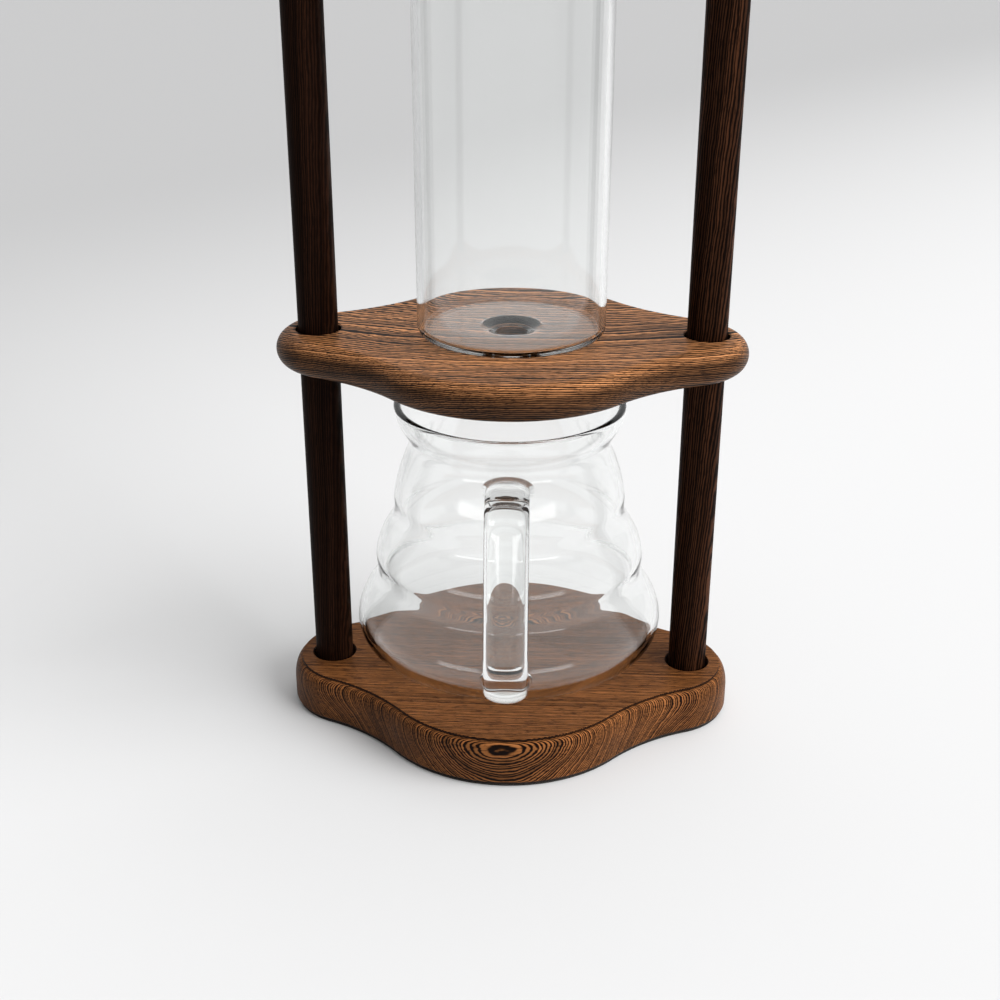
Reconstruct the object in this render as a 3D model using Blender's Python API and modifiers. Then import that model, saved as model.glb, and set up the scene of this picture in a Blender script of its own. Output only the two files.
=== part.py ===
"""A slow-drip coffee tower: wood stand, glass server, coffee chamber and water vessel with a drip valve.

Metres, +Z up. The front is -Y. The origin is on the table, midway between the two posts.
"""
import math

import bmesh
import bpy
from mathutils import Matrix, Vector

# Clearances between pieces that touch or fit into each other
GAP = 0.0003
POST_HOLE_CLEARANCE = 0.0010
SPOUT_CLEARANCE = 0.0020
SERVER_SIDE_GAP = 0.0020

# Posts
POST_DIAMETER = 0.0140
POST_END_ROUND = 0.0030
POST_PROUD = 0.0080
POST_FLOOR = 0.0070

# Plates: arcs of the front and back lobes, of the post lobes, and of the hollows between them
PLATE_HALF_DEPTH = 0.0602
POST_LOBE_REACH = 0.0147
FRONT_LOBE_RADIUS = 0.0521
POST_LOBE_RADIUS = 0.0245
HOLLOW_RADIUS = 0.0740
SHELF_THICKNESS = 0.0122
BASE_MARGIN = 0.0006
BASE_THICKNESS = 0.0168
BASE_BOTTOM_ROUND = 0.0013
BASE_SHOULDER = 0.0078
BASE_STEP_HEIGHT = 0.0010
BASE_STEP_INSET = 0.0030

# Felt sheet under the base
FELT_THICKNESS = 0.0009
FELT_INSET = 0.0009

# Wood screws
SCREW_SHANK_RADIUS = 0.0020
SCREW_HEAD_RADIUS = 0.0040
SCREW_HEAD_HEIGHT = 0.0026
SCREW_SOCKET_RADIUS = 0.0015
SCREW_SOCKET_DEPTH = 0.0014
SCREW_POINT = 0.0030
SCREW_BITE = 0.0080
SCREW_SINK = 0.0030
BASE_SCREW_SINK = 0.0010

# Server: how far its bulges, waists and rim stand in from the widest bulge, and the rise from one to the next
SERVER_DIAMETER = 0.1174
SERVER_WALL = 0.0024
FLOOR_INSET = 0.0114
LOWER_BULGE_RISE = 0.0110
LOWER_WAIST_INSET = 0.0088
LOWER_WAIST_RISE = 0.0170
MIDDLE_BULGE_INSET = 0.0077
MIDDLE_BULGE_RISE = 0.0085
UPPER_WAIST_INSET = 0.0155
UPPER_WAIST_RISE = 0.0170
UPPER_BULGE_INSET = 0.0151
UPPER_BULGE_RISE = 0.0065
NECK_INSET = 0.0223
NECK_RISE = 0.0235
RIM_INSET = 0.0159
RIM_RISE = 0.0130
SERVER_SHIFT = -0.0012
SERVER_SETBACK = 0.0175
SERVER_HEADROOM = 0.0211
BULGE_FALL = 1.8
NECK_FALL = 1.5

# Server handle: an oval glass bar that leans outwards and is bent back to the body at both ends
HANDLE_WIDTH = 0.0154
HANDLE_DEPTH = 0.0080
HANDLE_TOP_DROP = 0.0046
HANDLE_TOP_RISE = 0.0055
HANDLE_TOP_BEND = 0.0125
HANDLE_LEAN = 0.0203
HANDLE_FOOT_RISE = 0.0025
HANDLE_LOW_RISE = 0.0012
HANDLE_LOW_BEND = 0.0120
HANDLE_STUB = 0.0030
HANDLE_TURN = math.radians(1.65)

# Coffee chamber
CHAMBER_DIAMETER = 0.0654
CHAMBER_HEIGHT = 0.1300
CHAMBER_WALL = 0.0022
CHAMBER_FLOOR = 0.0020
CHAMBER_CORNER = 0.0030
FUNNEL_RADIUS = 0.0125
SPOUT_DIAMETER = 0.0140
SPOUT_BORE = 0.0110
SPOUT_PROUD = 0.0020
CHAMBER_LIFT = 0.0200
NOZZLE_CLEARANCE = 0.0040

# Water vessel
VESSEL_DIAMETER = 0.0880
VESSEL_WALL = 0.0024
VESSEL_CYLINDER = 0.0700
VESSEL_CONE = 0.0440
VESSEL_NECK_DIAMETER = 0.0200
VESSEL_NECK_LENGTH = 0.0100
VESSEL_SEAT_RADIUS = 0.0320

# Stopper, drip valve and nozzle
STOPPER_PLUG_LENGTH = 0.0080
STOPPER_FLANGE = 0.0030
INLET_RADIUS = 0.0030
INLET_PROUD = 0.0020
WATERWAY_RADIUS = 0.0014
VALVE_RADIUS = 0.0080
VALVE_HEIGHT = 0.0160
BOSS_RADIUS = 0.0055
BOSS_LENGTH = 0.0075
PACKING_RADIUS = 0.0038
PACKING_LENGTH = 0.0020
NEEDLE_RADIUS = 0.0020
NEEDLE_TIP_RADIUS = 0.0006
NEEDLE_TIP_LENGTH = 0.0025
NEEDLE_REACH = 0.0020
GLAND_SIDE_WALL = 0.0011
GLAND_OVERLAP = 0.0042
GLAND_WALL = 0.0030
KNOB_RADIUS = 0.0085
KNOB_LENGTH = 0.0080
KNOB_FACE = 0.0016
KNOB_ROUND = 0.0015
NOZZLE_RADIUS = 0.0042
NOZZLE_LENGTH = 0.0120
NOZZLE_TIP_RADIUS = 0.0019
SPIGOT_RADIUS = 0.0026
SPIGOT_LENGTH = 0.0040

# Lid of the water vessel
LID_OVERHANG = 0.0030
LID_THICKNESS = 0.0080
LID_ROUND = 0.0025
LID_PLUG_DEPTH = 0.0080
LID_PLUG_CLEARANCE = 0.0008
LID_KNOB_RADIUS = 0.0110
LID_KNOB_STEM_RADIUS = 0.0065
LID_KNOB_STEM_HEIGHT = 0.0025
LID_SCREW_BITE = 0.0070

# Sides of the round pieces and points along the curves
LARGE_STEPS = 32
SMALL_STEPS = 16
STRETCH_POINTS = 4
ARC_POINTS = 7

# Levels and places that follow from the sizes above
SERVER_RADIUS = SERVER_DIAMETER / 2
POST_RADIUS = POST_DIAMETER / 2
POST_X = SERVER_RADIUS + SERVER_SIDE_GAP + POST_RADIUS
POST_HOLE_RADIUS = POST_RADIUS + POST_HOLE_CLEARANCE
PLATE_HALF_WIDTH = POST_X + POST_LOBE_REACH
BASE_BOTTOM = FELT_THICKNESS + GAP
BASE_TOP = BASE_BOTTOM + BASE_THICKNESS
POST_HOLE_FLOOR = BASE_BOTTOM + POST_FLOOR
SERVER_BOTTOM = BASE_TOP + GAP
SERVER_HEIGHT = (LOWER_BULGE_RISE + LOWER_WAIST_RISE + MIDDLE_BULGE_RISE + UPPER_WAIST_RISE
                 + UPPER_BULGE_RISE + NECK_RISE + RIM_RISE)
MIDDLE_BOTTOM = SERVER_BOTTOM + SERVER_HEIGHT + SERVER_HEADROOM
MIDDLE_TOP = MIDDLE_BOTTOM + SHELF_THICKNESS
CHAMBER_BOTTOM = MIDDLE_TOP + GAP
SPOUT_LENGTH = SHELF_THICKNESS + GAP + SPOUT_PROUD
NOZZLE_TIP = CHAMBER_BOTTOM + CHAMBER_HEIGHT + CHAMBER_LIFT + NOZZLE_CLEARANCE
VALVE_BOTTOM = NOZZLE_TIP + NOZZLE_LENGTH + GAP
VALVE_TOP = VALVE_BOTTOM + VALVE_HEIGHT
VALVE_AXIS = VALVE_BOTTOM + VALVE_HEIGHT / 2
STOPPER_BOTTOM = VALVE_TOP + GAP
VESSEL_BOTTOM = STOPPER_BOTTOM + STOPPER_FLANGE + GAP
VESSEL_RADIUS = VESSEL_DIAMETER / 2
VESSEL_NECK_RADIUS = VESSEL_NECK_DIAMETER / 2
CONE_SLOPE = VESSEL_CONE / (VESSEL_RADIUS - VESSEL_NECK_RADIUS)
CONE_BOTTOM = VESSEL_BOTTOM + VESSEL_NECK_LENGTH
TOP_TOP = CONE_BOTTOM + (VESSEL_SEAT_RADIUS - GAP - VESSEL_NECK_RADIUS) * CONE_SLOPE
TOP_BOTTOM = TOP_TOP - SHELF_THICKNESS
VESSEL_TOP = CONE_BOTTOM + VESSEL_CONE + VESSEL_CYLINDER
LID_BOTTOM = VESSEL_TOP + GAP
LID_TOP = LID_BOTTOM + LID_THICKNESS
NECK_LEVEL = SERVER_HEIGHT - RIM_RISE
POST_BOTTOM = POST_HOLE_FLOOR + GAP
POST_TOP = TOP_TOP + POST_PROUD
SCREW_HOLE_RADIUS = SCREW_SHANK_RADIUS + GAP
HEAD_HOLE_RADIUS = SCREW_HEAD_RADIUS + GAP

for leftover in list(bpy.data.objects):
    bpy.data.objects.remove(leftover, do_unlink=True)
tower = bpy.data.collections.new("slow_drip_tower")
cutters = bpy.data.collections.new("cutters")
bpy.context.scene.collection.children.link(tower)
bpy.context.scene.collection.children.link(cutters)


def finish(name, colour, roughness, metallic=0.0, transmission=0.0):
    """A Principled material of one colour."""
    material = bpy.data.materials.new(name)
    material.use_nodes = True
    shader = material.node_tree.nodes["Principled BSDF"]
    shader.inputs["Base Color"].default_value = (*colour, 1.0)
    shader.inputs["Roughness"].default_value = roughness
    shader.inputs["Metallic"].default_value = metallic
    shader.inputs["Transmission Weight"].default_value = transmission
    material.diffuse_color = (*colour, 1.0 - 0.7 * transmission)
    return material


PLATE_WOOD = finish("oiled_plate_wood", (0.17, 0.085, 0.042), 0.38)
POST_WOOD = finish("oiled_post_wood", (0.055, 0.028, 0.017), 0.42)
GLASS = finish("clear_glass", (0.95, 0.97, 0.96), 0.02, transmission=1.0)
FELT = finish("dark_felt", (0.03, 0.028, 0.026), 0.95)
STEEL = finish("screw_steel", (0.55, 0.55, 0.56), 0.35, metallic=1.0)
BRASS = finish("valve_brass", (0.72, 0.53, 0.25), 0.28, metallic=1.0)
SILICONE = finish("pale_silicone", (0.72, 0.72, 0.70), 0.55)


def add_part(name, mesh, material, place=(0, 0, 0), turn=(0, 0, 0)):
    """Put a mesh into the tower's collection as a named object."""
    part = bpy.data.objects.new(name, mesh)
    part.location = place
    part.rotation_euler = turn
    mesh.materials.append(material)
    tower.objects.link(part)
    return part


def turned(name, profile, material, place=(0, 0, 0), turn=(0, 0, 0), steps=SMALL_STEPS):
    """Turn a profile of (radius, height) points about the local Z axis.

    The profile runs up the inside and down the outside. One that doesn't start and end on the axis is closed.
    """
    closed = profile[0][0] > 0
    count = len(profile)
    edges = [(i, (i + 1) % count) for i in range(count if closed else count - 1)]
    mesh = bpy.data.meshes.new(name)
    mesh.from_pydata([(radius, 0, height) for radius, height in profile], edges, [])
    part = add_part(name, mesh, material, place, turn)
    screw = part.modifiers.new("turn", "SCREW")
    screw.steps = steps
    screw.render_steps = steps
    screw.use_merge_vertices = True
    screw.merge_threshold = 0.00001
    screw.use_smooth_shade = True
    return part


def arc(centre, radius, start, end, points=ARC_POINTS):
    """Points on an arc about a centre, from one angle to another in radians."""
    steps = [start + (end - start) * i / (points - 1) for i in range(points)]
    return [(centre[0] + radius * math.cos(a), centre[1] + radius * math.sin(a)) for a in steps]


def rim_arc(inner, top, wall):
    """Half-round rim of an upright glass wall, from its inner to its outer side."""
    return arc((inner + wall / 2, top - wall / 2), wall / 2, math.pi, 0, 5)


def rounded_disc(radius, bottom, top, rounding):
    """Outer side of a disc with rounded edges, from its top middle down to its bottom middle."""
    inner = radius - rounding
    upper = arc((inner, top - rounding), rounding, math.pi / 2, 0, 5)
    lower = arc((inner, bottom + rounding), rounding, 0, -math.pi / 2, 5)
    return upper + lower


def cylinder_cutter(name, start, end, radius, steps=SMALL_STEPS):
    """A wire-drawn cylinder between two points, for cutting with."""
    start = Vector(start)
    span = Vector(end) - start
    form = bmesh.new()
    bmesh.ops.create_cone(form, cap_ends=True, segments=steps, radius1=radius, radius2=radius,
                          depth=span.length)
    turn = span.to_track_quat("Z", "Y").to_matrix().to_4x4()
    form.transform(Matrix.Translation(start + span / 2) @ turn)
    mesh = bpy.data.meshes.new(name)
    form.to_mesh(mesh)
    form.free()
    cutter = bpy.data.objects.new(name, mesh)
    cutter.hide_render = True
    cutter.display_type = "WIRE"
    cutters.objects.link(cutter)
    return cutter


def combine(part, other, operation):
    """Cut a part with another object, or join that object to it."""
    boolean = part.modifiers.new(other.name, "BOOLEAN")
    boolean.solver = "EXACT"
    boolean.operation = operation
    boolean.object = other


def plate_outline(inset):
    """Plan outline of a plate, drawn in by an inset, as a closed ring of points, anticlockwise.

    Each quarter is an arc of the front lobe, a hollow arc touching both lobes, and an arc of the post lobe.
    """
    front = Vector((0, FRONT_LOBE_RADIUS - PLATE_HALF_DEPTH))
    side = Vector((PLATE_HALF_WIDTH - POST_LOBE_RADIUS, 0))
    along = (side - front).normalized()
    across = Vector((along.y, -along.x))
    distance = (side - front).length
    to_front = FRONT_LOBE_RADIUS + HOLLOW_RADIUS
    to_side = POST_LOBE_RADIUS + HOLLOW_RADIUS
    reach = (to_front ** 2 - to_side ** 2 + distance ** 2) / (2 * distance)
    hollow = front + reach * along + math.sqrt(to_front ** 2 - reach ** 2) * across
    front_end = math.atan2(hollow.y - front.y, hollow.x - front.x)
    side_start = math.atan2(hollow.y - side.y, hollow.x - side.x)
    hollow_start = front_end + math.pi
    hollow_end = side_start + math.pi
    quarter = arc(front, FRONT_LOBE_RADIUS - inset, -math.pi / 2, front_end)
    quarter += arc(hollow, HOLLOW_RADIUS + inset, hollow_start, hollow_end)[1:]
    quarter += arc(side, POST_LOBE_RADIUS - inset, side_start, 0)[1:]
    right = quarter + [(x, -y) for x, y in reversed(quarter[:-1])]
    return right + [(-x, y) for x, y in reversed(right[1:-1])]


def plate_form(edge):
    """Closed plate through rings of the outline. The edge is (inset, height) points from the bottom up."""
    form = bmesh.new()
    loops = []
    for inset, height in edge:
        ring = [form.verts.new((x, y, height)) for x, y in plate_outline(inset)]
        loops.append([form.edges.new((ring[i - 1], ring[i])) for i in range(len(ring))])
    for lower, upper in zip(loops, loops[1:]):
        bmesh.ops.bridge_loops(form, edges=lower + upper)
    for rim in (loops[0], loops[-1]):
        bmesh.ops.contextual_create(form, geom=rim)
    bmesh.ops.recalc_face_normals(form, faces=form.faces)
    return form


def round_edge(bottom, top):
    """Full-round plate edge from bottom to top."""
    half = (top - bottom) / 2
    return arc((half, bottom + half), half, 3 * math.pi / 2, math.pi / 2)


def as_mesh(drawn):
    """Turn a curve object into a welded bmesh in world space, and remove the curve."""
    bpy.context.view_layer.update()
    evaluated = drawn.evaluated_get(bpy.context.evaluated_depsgraph_get())
    mesh = bpy.data.meshes.new_from_object(evaluated)
    form = bmesh.new()
    form.from_mesh(mesh)
    form.transform(drawn.matrix_world)
    bmesh.ops.remove_doubles(form, verts=form.verts, dist=0.000001)
    bmesh.ops.recalc_face_normals(form, faces=form.faces)
    bpy.data.meshes.remove(mesh)
    bpy.data.objects.remove(drawn, do_unlink=True)
    return form


def add_form(name, form, material):
    """Put a bmesh into the tower as a smooth-shaded part."""
    mesh = bpy.data.meshes.new(name)
    form.to_mesh(mesh)
    form.free()
    mesh.shade_smooth()
    mesh.set_sharp_from_angle(angle=math.radians(40))
    return add_part(name, mesh, material)


def back_edge(x):
    """How far back the plate's outline reaches at a distance x from the middle."""
    ring = plate_outline(0)
    reach = 0
    for (x0, y0), (x1, y1) in zip(ring, ring[1:] + ring[:1]):
        if min(x0, x1) <= x <= max(x0, x1) and x0 != x1:
            reach = max(reach, y0 + (y1 - y0) * (x - x0) / (x1 - x0))
    return reach


def screw_profile(shank_length):
    """A socket-head wood screw with its head's top at height 0, its point downwards."""
    shoulder = -SCREW_HEAD_HEIGHT
    point = shoulder - shank_length
    return [(0, -SCREW_SOCKET_DEPTH), (SCREW_SOCKET_RADIUS, -SCREW_SOCKET_DEPTH), (SCREW_SOCKET_RADIUS, 0),
            (SCREW_HEAD_RADIUS, 0), (SCREW_HEAD_RADIUS, shoulder), (SCREW_SHANK_RADIUS, shoulder),
            (SCREW_SHANK_RADIUS, point + SCREW_POINT), (0, point)]


# Posts: dowels with a rounded top, and a pilot hole in the lower end
SIDES = {"left": -POST_X, "right": POST_X}
PILOT_END = POST_BOTTOM + SCREW_BITE + GAP
posts = {}
for side, x in SIDES.items():
    dowel = [(0, POST_TOP)]
    dowel += arc((POST_RADIUS - POST_END_ROUND, POST_TOP - POST_END_ROUND), POST_END_ROUND, math.pi / 2, 0, 5)
    dowel += [(POST_RADIUS, POST_BOTTOM), (SCREW_HOLE_RADIUS, POST_BOTTOM), (SCREW_HOLE_RADIUS, PILOT_END)]
    dowel += [(0, PILOT_END)]
    posts[side] = turned(f"post_{side}", dowel, POST_WOOD, place=(x, 0, 0))

# Base: a small round below, a long shoulder above, and a flat raised field that leaves a fine step
step_level = BASE_TOP - BASE_STEP_HEIGHT
round_level = BASE_BOTTOM + BASE_BOTTOM_ROUND
base_edge = arc((BASE_BOTTOM_ROUND, round_level), BASE_BOTTOM_ROUND, 3 * math.pi / 2, math.pi, 4)
for share_x, share_z in arc((1, 0), 1, math.pi, math.pi / 2, ARC_POINTS):
    base_edge.append((BASE_STEP_INSET * share_x, step_level - BASE_SHOULDER * (1 - share_z)))
base_edge.append((BASE_STEP_INSET, BASE_TOP))
base_form = plate_form([(inset - BASE_MARGIN, height) for inset, height in base_edge])
base_plate = add_form("base_plate", base_form, PLATE_WOOD)

# Shelves: slabs with a full round edge, one bored for the drip and one for the water vessel
middle_shelf = add_form("middle_shelf", plate_form(round_edge(MIDDLE_BOTTOM, MIDDLE_TOP)), PLATE_WOOD)
top_shelf = add_form("top_shelf", plate_form(round_edge(TOP_BOTTOM, TOP_TOP)), PLATE_WOOD)
drip_hole = cylinder_cutter("drip_hole", (0, 0, SERVER_BOTTOM), (0, 0, TOP_BOTTOM),
                            SPOUT_DIAMETER / 2 + SPOUT_CLEARANCE)
combine(middle_shelf, drip_hole, "DIFFERENCE")
seat_hole = cylinder_cutter("seat_hole", (0, 0, MIDDLE_TOP), (0, 0, VESSEL_TOP), VESSEL_SEAT_RADIUS,
                            LARGE_STEPS)
combine(top_shelf, seat_hole, "DIFFERENCE")

# Post holes: blind in the base, right through the shelves
for side, x in SIDES.items():
    blind = cylinder_cutter(f"base_hole_{side}", (x, 0, POST_HOLE_FLOOR), (x, 0, BASE_TOP + BASE_THICKNESS),
                            POST_HOLE_RADIUS)
    combine(base_plate, blind, "DIFFERENCE")
    for shelf, bottom, top in ((middle_shelf, MIDDLE_BOTTOM, MIDDLE_TOP), (top_shelf, TOP_BOTTOM, TOP_TOP)):
        through = cylinder_cutter(f"{shelf.name}_hole_{side}", (x, 0, bottom - SHELF_THICKNESS),
                                  (x, 0, top + SHELF_THICKNESS), POST_HOLE_RADIUS)
        combine(shelf, through, "DIFFERENCE")

# Screws: up through the base into the posts' ends, and from the shelves' back edges into the posts
seat = BASE_BOTTOM + BASE_SCREW_SINK
base_shank = POST_BOTTOM + SCREW_BITE - seat - SCREW_HEAD_HEIGHT
edge = back_edge(POST_X)
head_face = edge - SCREW_SINK
tip = POST_RADIUS - SCREW_BITE
shelf_shank = head_face - SCREW_HEAD_HEIGHT - tip
for side, x in SIDES.items():
    turned(f"base_screw_{side}", screw_profile(base_shank), STEEL, place=(x, 0, seat), turn=(math.pi, 0, 0))
    shank_hole = cylinder_cutter(f"base_screw_hole_{side}", (x, 0, 0), (x, 0, BASE_TOP), SCREW_HOLE_RADIUS)
    head_hole = cylinder_cutter(f"base_head_hole_{side}", (x, 0, 0), (x, 0, seat + SCREW_HEAD_HEIGHT + GAP),
                                HEAD_HOLE_RADIUS)
    combine(base_plate, shank_hole, "DIFFERENCE")
    combine(base_plate, head_hole, "DIFFERENCE")
    for level, shelf, z in (("middle", middle_shelf, (MIDDLE_BOTTOM + MIDDLE_TOP) / 2),
                            ("top", top_shelf, (TOP_BOTTOM + TOP_TOP) / 2)):
        turned(f"{level}_screw_{side}", screw_profile(shelf_shank), STEEL, place=(x, head_face, z),
               turn=(-math.pi / 2, 0, 0))
        outside = (x, edge + SCREW_SINK, z)
        shank_hole = cylinder_cutter(f"{level}_screw_hole_{side}", outside, (x, tip - GAP, z),
                                     SCREW_HOLE_RADIUS)
        head_hole = cylinder_cutter(f"{level}_head_hole_{side}", outside,
                                    (x, head_face - SCREW_HEAD_HEIGHT - GAP, z), HEAD_HOLE_RADIUS)
        combine(shelf, shank_hole, "DIFFERENCE")
        combine(shelf, head_hole, "DIFFERENCE")
        combine(posts[side], shank_hole, "DIFFERENCE")

# Felt: one sheet glued under the base, which also hides the screws
felt_edge = FELT_INSET - BASE_MARGIN
add_form("base_felt", plate_form([(felt_edge, 0), (felt_edge, FELT_THICKNESS)]), FELT)


def stretch(bulge, waist, power=BULGE_FALL):
    """Points from a bulge to a waist: the radius falls off by a power of the distance from the bulge."""
    points = []
    for i in range(1, STRETCH_POINTS + 1):
        share = i / STRETCH_POINTS
        radius = waist[0] + (bulge[0] - waist[0]) * (1 - share ** power)
        points.append((radius, bulge[1] + (waist[1] - bulge[1]) * share))
    return points


def server_outer():
    """Outer profile of the server from the middle of its floor up to its rim."""
    level = LOWER_BULGE_RISE
    lower_bulge = (SERVER_RADIUS, level)
    level += LOWER_WAIST_RISE
    lower_waist = (SERVER_RADIUS - LOWER_WAIST_INSET, level)
    level += MIDDLE_BULGE_RISE
    middle_bulge = (SERVER_RADIUS - MIDDLE_BULGE_INSET, level)
    level += UPPER_WAIST_RISE
    upper_waist = (SERVER_RADIUS - UPPER_WAIST_INSET, level)
    level += UPPER_BULGE_RISE
    upper_bulge = (SERVER_RADIUS - UPPER_BULGE_INSET, level)
    neck = (SERVER_RADIUS - NECK_INSET, NECK_LEVEL)
    rim = (SERVER_RADIUS - RIM_INSET, SERVER_HEIGHT)
    points = [(0, 0)]
    for i in range(ARC_POINTS):
        angle = math.pi / 2 * i / (ARC_POINTS - 1)
        radius = SERVER_RADIUS - FLOOR_INSET * (1 - math.sin(angle))
        points.append((radius, LOWER_BULGE_RISE * (1 - math.cos(angle))))
    points += stretch(lower_bulge, lower_waist)
    points += [middle_bulge] + stretch(middle_bulge, upper_waist)
    points += [upper_bulge] + stretch(upper_bulge, neck, NECK_FALL)
    points += list(reversed(stretch(rim, neck)[:-1])) + [rim]
    return points


def offset_inside(points, wall):
    """The inner side of an outer profile, a wall thickness away, in the same order."""
    inner = []
    for i, (radius, height) in enumerate(points):
        before = Vector(points[max(i - 1, 0)])
        after = Vector(points[min(i + 1, len(points) - 1)])
        run = (after - before).normalized()
        inner.append((max(radius - wall * run.y, 0), height + wall * run.x))
    return inner


def radius_at(points, height):
    """Radius and outward normal of an outer profile at a height above its floor."""
    for (r0, h0), (r1, h1) in zip(points, points[1:]):
        if h0 < height <= h1:
            run = Vector((r1 - r0, h1 - h0)).normalized()
            return r0 + (r1 - r0) * (height - h0) / (h1 - h0), Vector((run.y, -run.x))
    raise ValueError("height outside the profile")


# Server: blown glass with a rounded rim
server_side = server_outer()
server_inside = offset_inside(server_side, SERVER_WALL)
server_inside[0] = (0, SERVER_WALL)
lip_out = Vector(server_side[-1])
lip_in = Vector(server_inside[-1])
lip_middle = (lip_out + lip_in) / 2
lip_start = math.atan2(lip_in.y - lip_middle.y, lip_in.x - lip_middle.x)
lip = arc(lip_middle, SERVER_WALL / 2, lip_start, lip_start - math.pi, 5)[1:-1]
server_profile = server_inside + lip + list(reversed(server_side))
server_place = (SERVER_SHIFT, SERVER_SETBACK, SERVER_BOTTOM)
turned("server_body", server_profile, GLASS, place=server_place, steps=LARGE_STEPS)


def bend(before, corner, after, radius):
    """Arc that rounds a clockwise corner of a line and touches both of its sides."""
    to_before = (before - corner).normalized()
    to_after = (after - corner).normalized()
    half = to_before.angle(to_after) / 2
    middle = corner + (to_before + to_after).normalized() * radius / math.sin(half)
    start = corner + to_before * radius / math.tan(half) - middle
    start_angle = math.atan2(start.y, start.x)
    return arc(middle, radius, start_angle, start_angle - math.pi + 2 * half)


# Handle: a bar drawn in the plane of the server's axis, squashed to an oval and turned to the front
joint_level = NECK_LEVEL - HANDLE_TOP_DROP
foot_level = LOWER_BULGE_RISE + HANDLE_FOOT_RISE
joint_radius, joint_normal = radius_at(server_side, joint_level)
foot_radius, foot_normal = radius_at(server_side, foot_level)
joint = Vector((joint_radius, joint_level)) + joint_normal * GAP
foot = Vector((foot_radius, foot_level)) + foot_normal * GAP
top_start = joint + joint_normal * HANDLE_STUB
low_end = foot + foot_normal * HANDLE_STUB
top_corner = Vector((SERVER_RADIUS, joint_level + HANDLE_TOP_RISE))
low_corner = Vector((SERVER_RADIUS + HANDLE_LEAN, foot_level + HANDLE_LOW_RISE))
route = [joint, top_start]
route += bend(top_start, top_corner, low_corner, HANDLE_TOP_BEND)
route += bend(top_corner, low_corner, low_end, HANDLE_LOW_BEND)
route += [low_end, foot]
handle_curve = bpy.data.curves.new("server_handle", "CURVE")
handle_curve.dimensions = "3D"
handle_curve.bevel_depth = HANDLE_DEPTH / 2
handle_curve.bevel_resolution = 2
handle_curve.use_fill_caps = True
handle_spline = handle_curve.splines.new("POLY")
handle_spline.points.add(len(route) - 1)
for point, (radius, height) in zip(handle_spline.points, route):
    point.co = (0, -radius, height, 1)
handle_drawn = bpy.data.objects.new("server_handle", handle_curve)
bpy.context.scene.collection.objects.link(handle_drawn)
handle_form = as_mesh(handle_drawn)
oval = Matrix.Diagonal((HANDLE_WIDTH / HANDLE_DEPTH, 1, 1, 1))
handle_form.transform(Matrix.Translation(server_place) @ Matrix.Rotation(HANDLE_TURN, 4, "Z") @ oval)
add_form("server_handle", handle_form, GLASS)

# Coffee chamber: a straight cylinder with a flat floor, and a funnel that leads into the spout
chamber_radius = CHAMBER_DIAMETER / 2
chamber_inner = chamber_radius - CHAMBER_WALL
spout_radius = SPOUT_DIAMETER / 2
bore_radius = SPOUT_BORE / 2
inner_corner = max(CHAMBER_CORNER - CHAMBER_WALL, GAP)
funnel = []
for share in (0, 0.25, 0.5, 0.75, 1):
    radius = bore_radius + (FUNNEL_RADIUS - bore_radius) * share
    funnel.append((radius, CHAMBER_FLOOR * (1 - (1 - share) ** 2)))
chamber = [(bore_radius, -SPOUT_LENGTH)] + funnel
chamber += arc((chamber_inner - inner_corner, CHAMBER_FLOOR + inner_corner), inner_corner, -math.pi / 2, 0, 4)
chamber += rim_arc(chamber_inner, CHAMBER_HEIGHT, CHAMBER_WALL)
chamber += arc((chamber_radius - CHAMBER_CORNER, CHAMBER_CORNER), CHAMBER_CORNER, 0, -math.pi / 2, 5)
chamber += [(spout_radius, 0), (spout_radius, -SPOUT_LENGTH)]
turned("coffee_chamber", chamber, GLASS, place=(0, 0, CHAMBER_BOTTOM), steps=LARGE_STEPS)

# Water vessel: a cylinder over a cone that sits in the top shelf, with an open neck below
neck_inner = VESSEL_NECK_RADIUS - VESSEL_WALL
vessel_inner = VESSEL_RADIUS - VESSEL_WALL
cone_level = VESSEL_NECK_LENGTH
cone_top = VESSEL_NECK_LENGTH + VESSEL_CONE
vessel_height = cone_top + VESSEL_CYLINDER
vessel = [(neck_inner, 0), (neck_inner, cone_level), (vessel_inner, cone_top)]
vessel += rim_arc(vessel_inner, vessel_height, VESSEL_WALL)
vessel += [(VESSEL_RADIUS, cone_top), (VESSEL_NECK_RADIUS, cone_level), (VESSEL_NECK_RADIUS, 0)]
turned("water_reservoir", vessel, GLASS, place=(0, 0, VESSEL_BOTTOM), steps=LARGE_STEPS)

# Stopper: a silicone plug in the neck, with a flange under it and a hole for the valve's inlet
inlet_hole = INLET_RADIUS + GAP
plug_radius = neck_inner - GAP
plug_top = STOPPER_FLANGE + GAP + STOPPER_PLUG_LENGTH
stopper = [(inlet_hole, 0), (inlet_hole, plug_top), (plug_radius, plug_top), (plug_radius, STOPPER_FLANGE),
           (VESSEL_NECK_RADIUS, STOPPER_FLANGE), (VESSEL_NECK_RADIUS, 0)]
turned("reservoir_stopper", stopper, SILICONE, place=(0, 0, STOPPER_BOTTOM))

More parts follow.
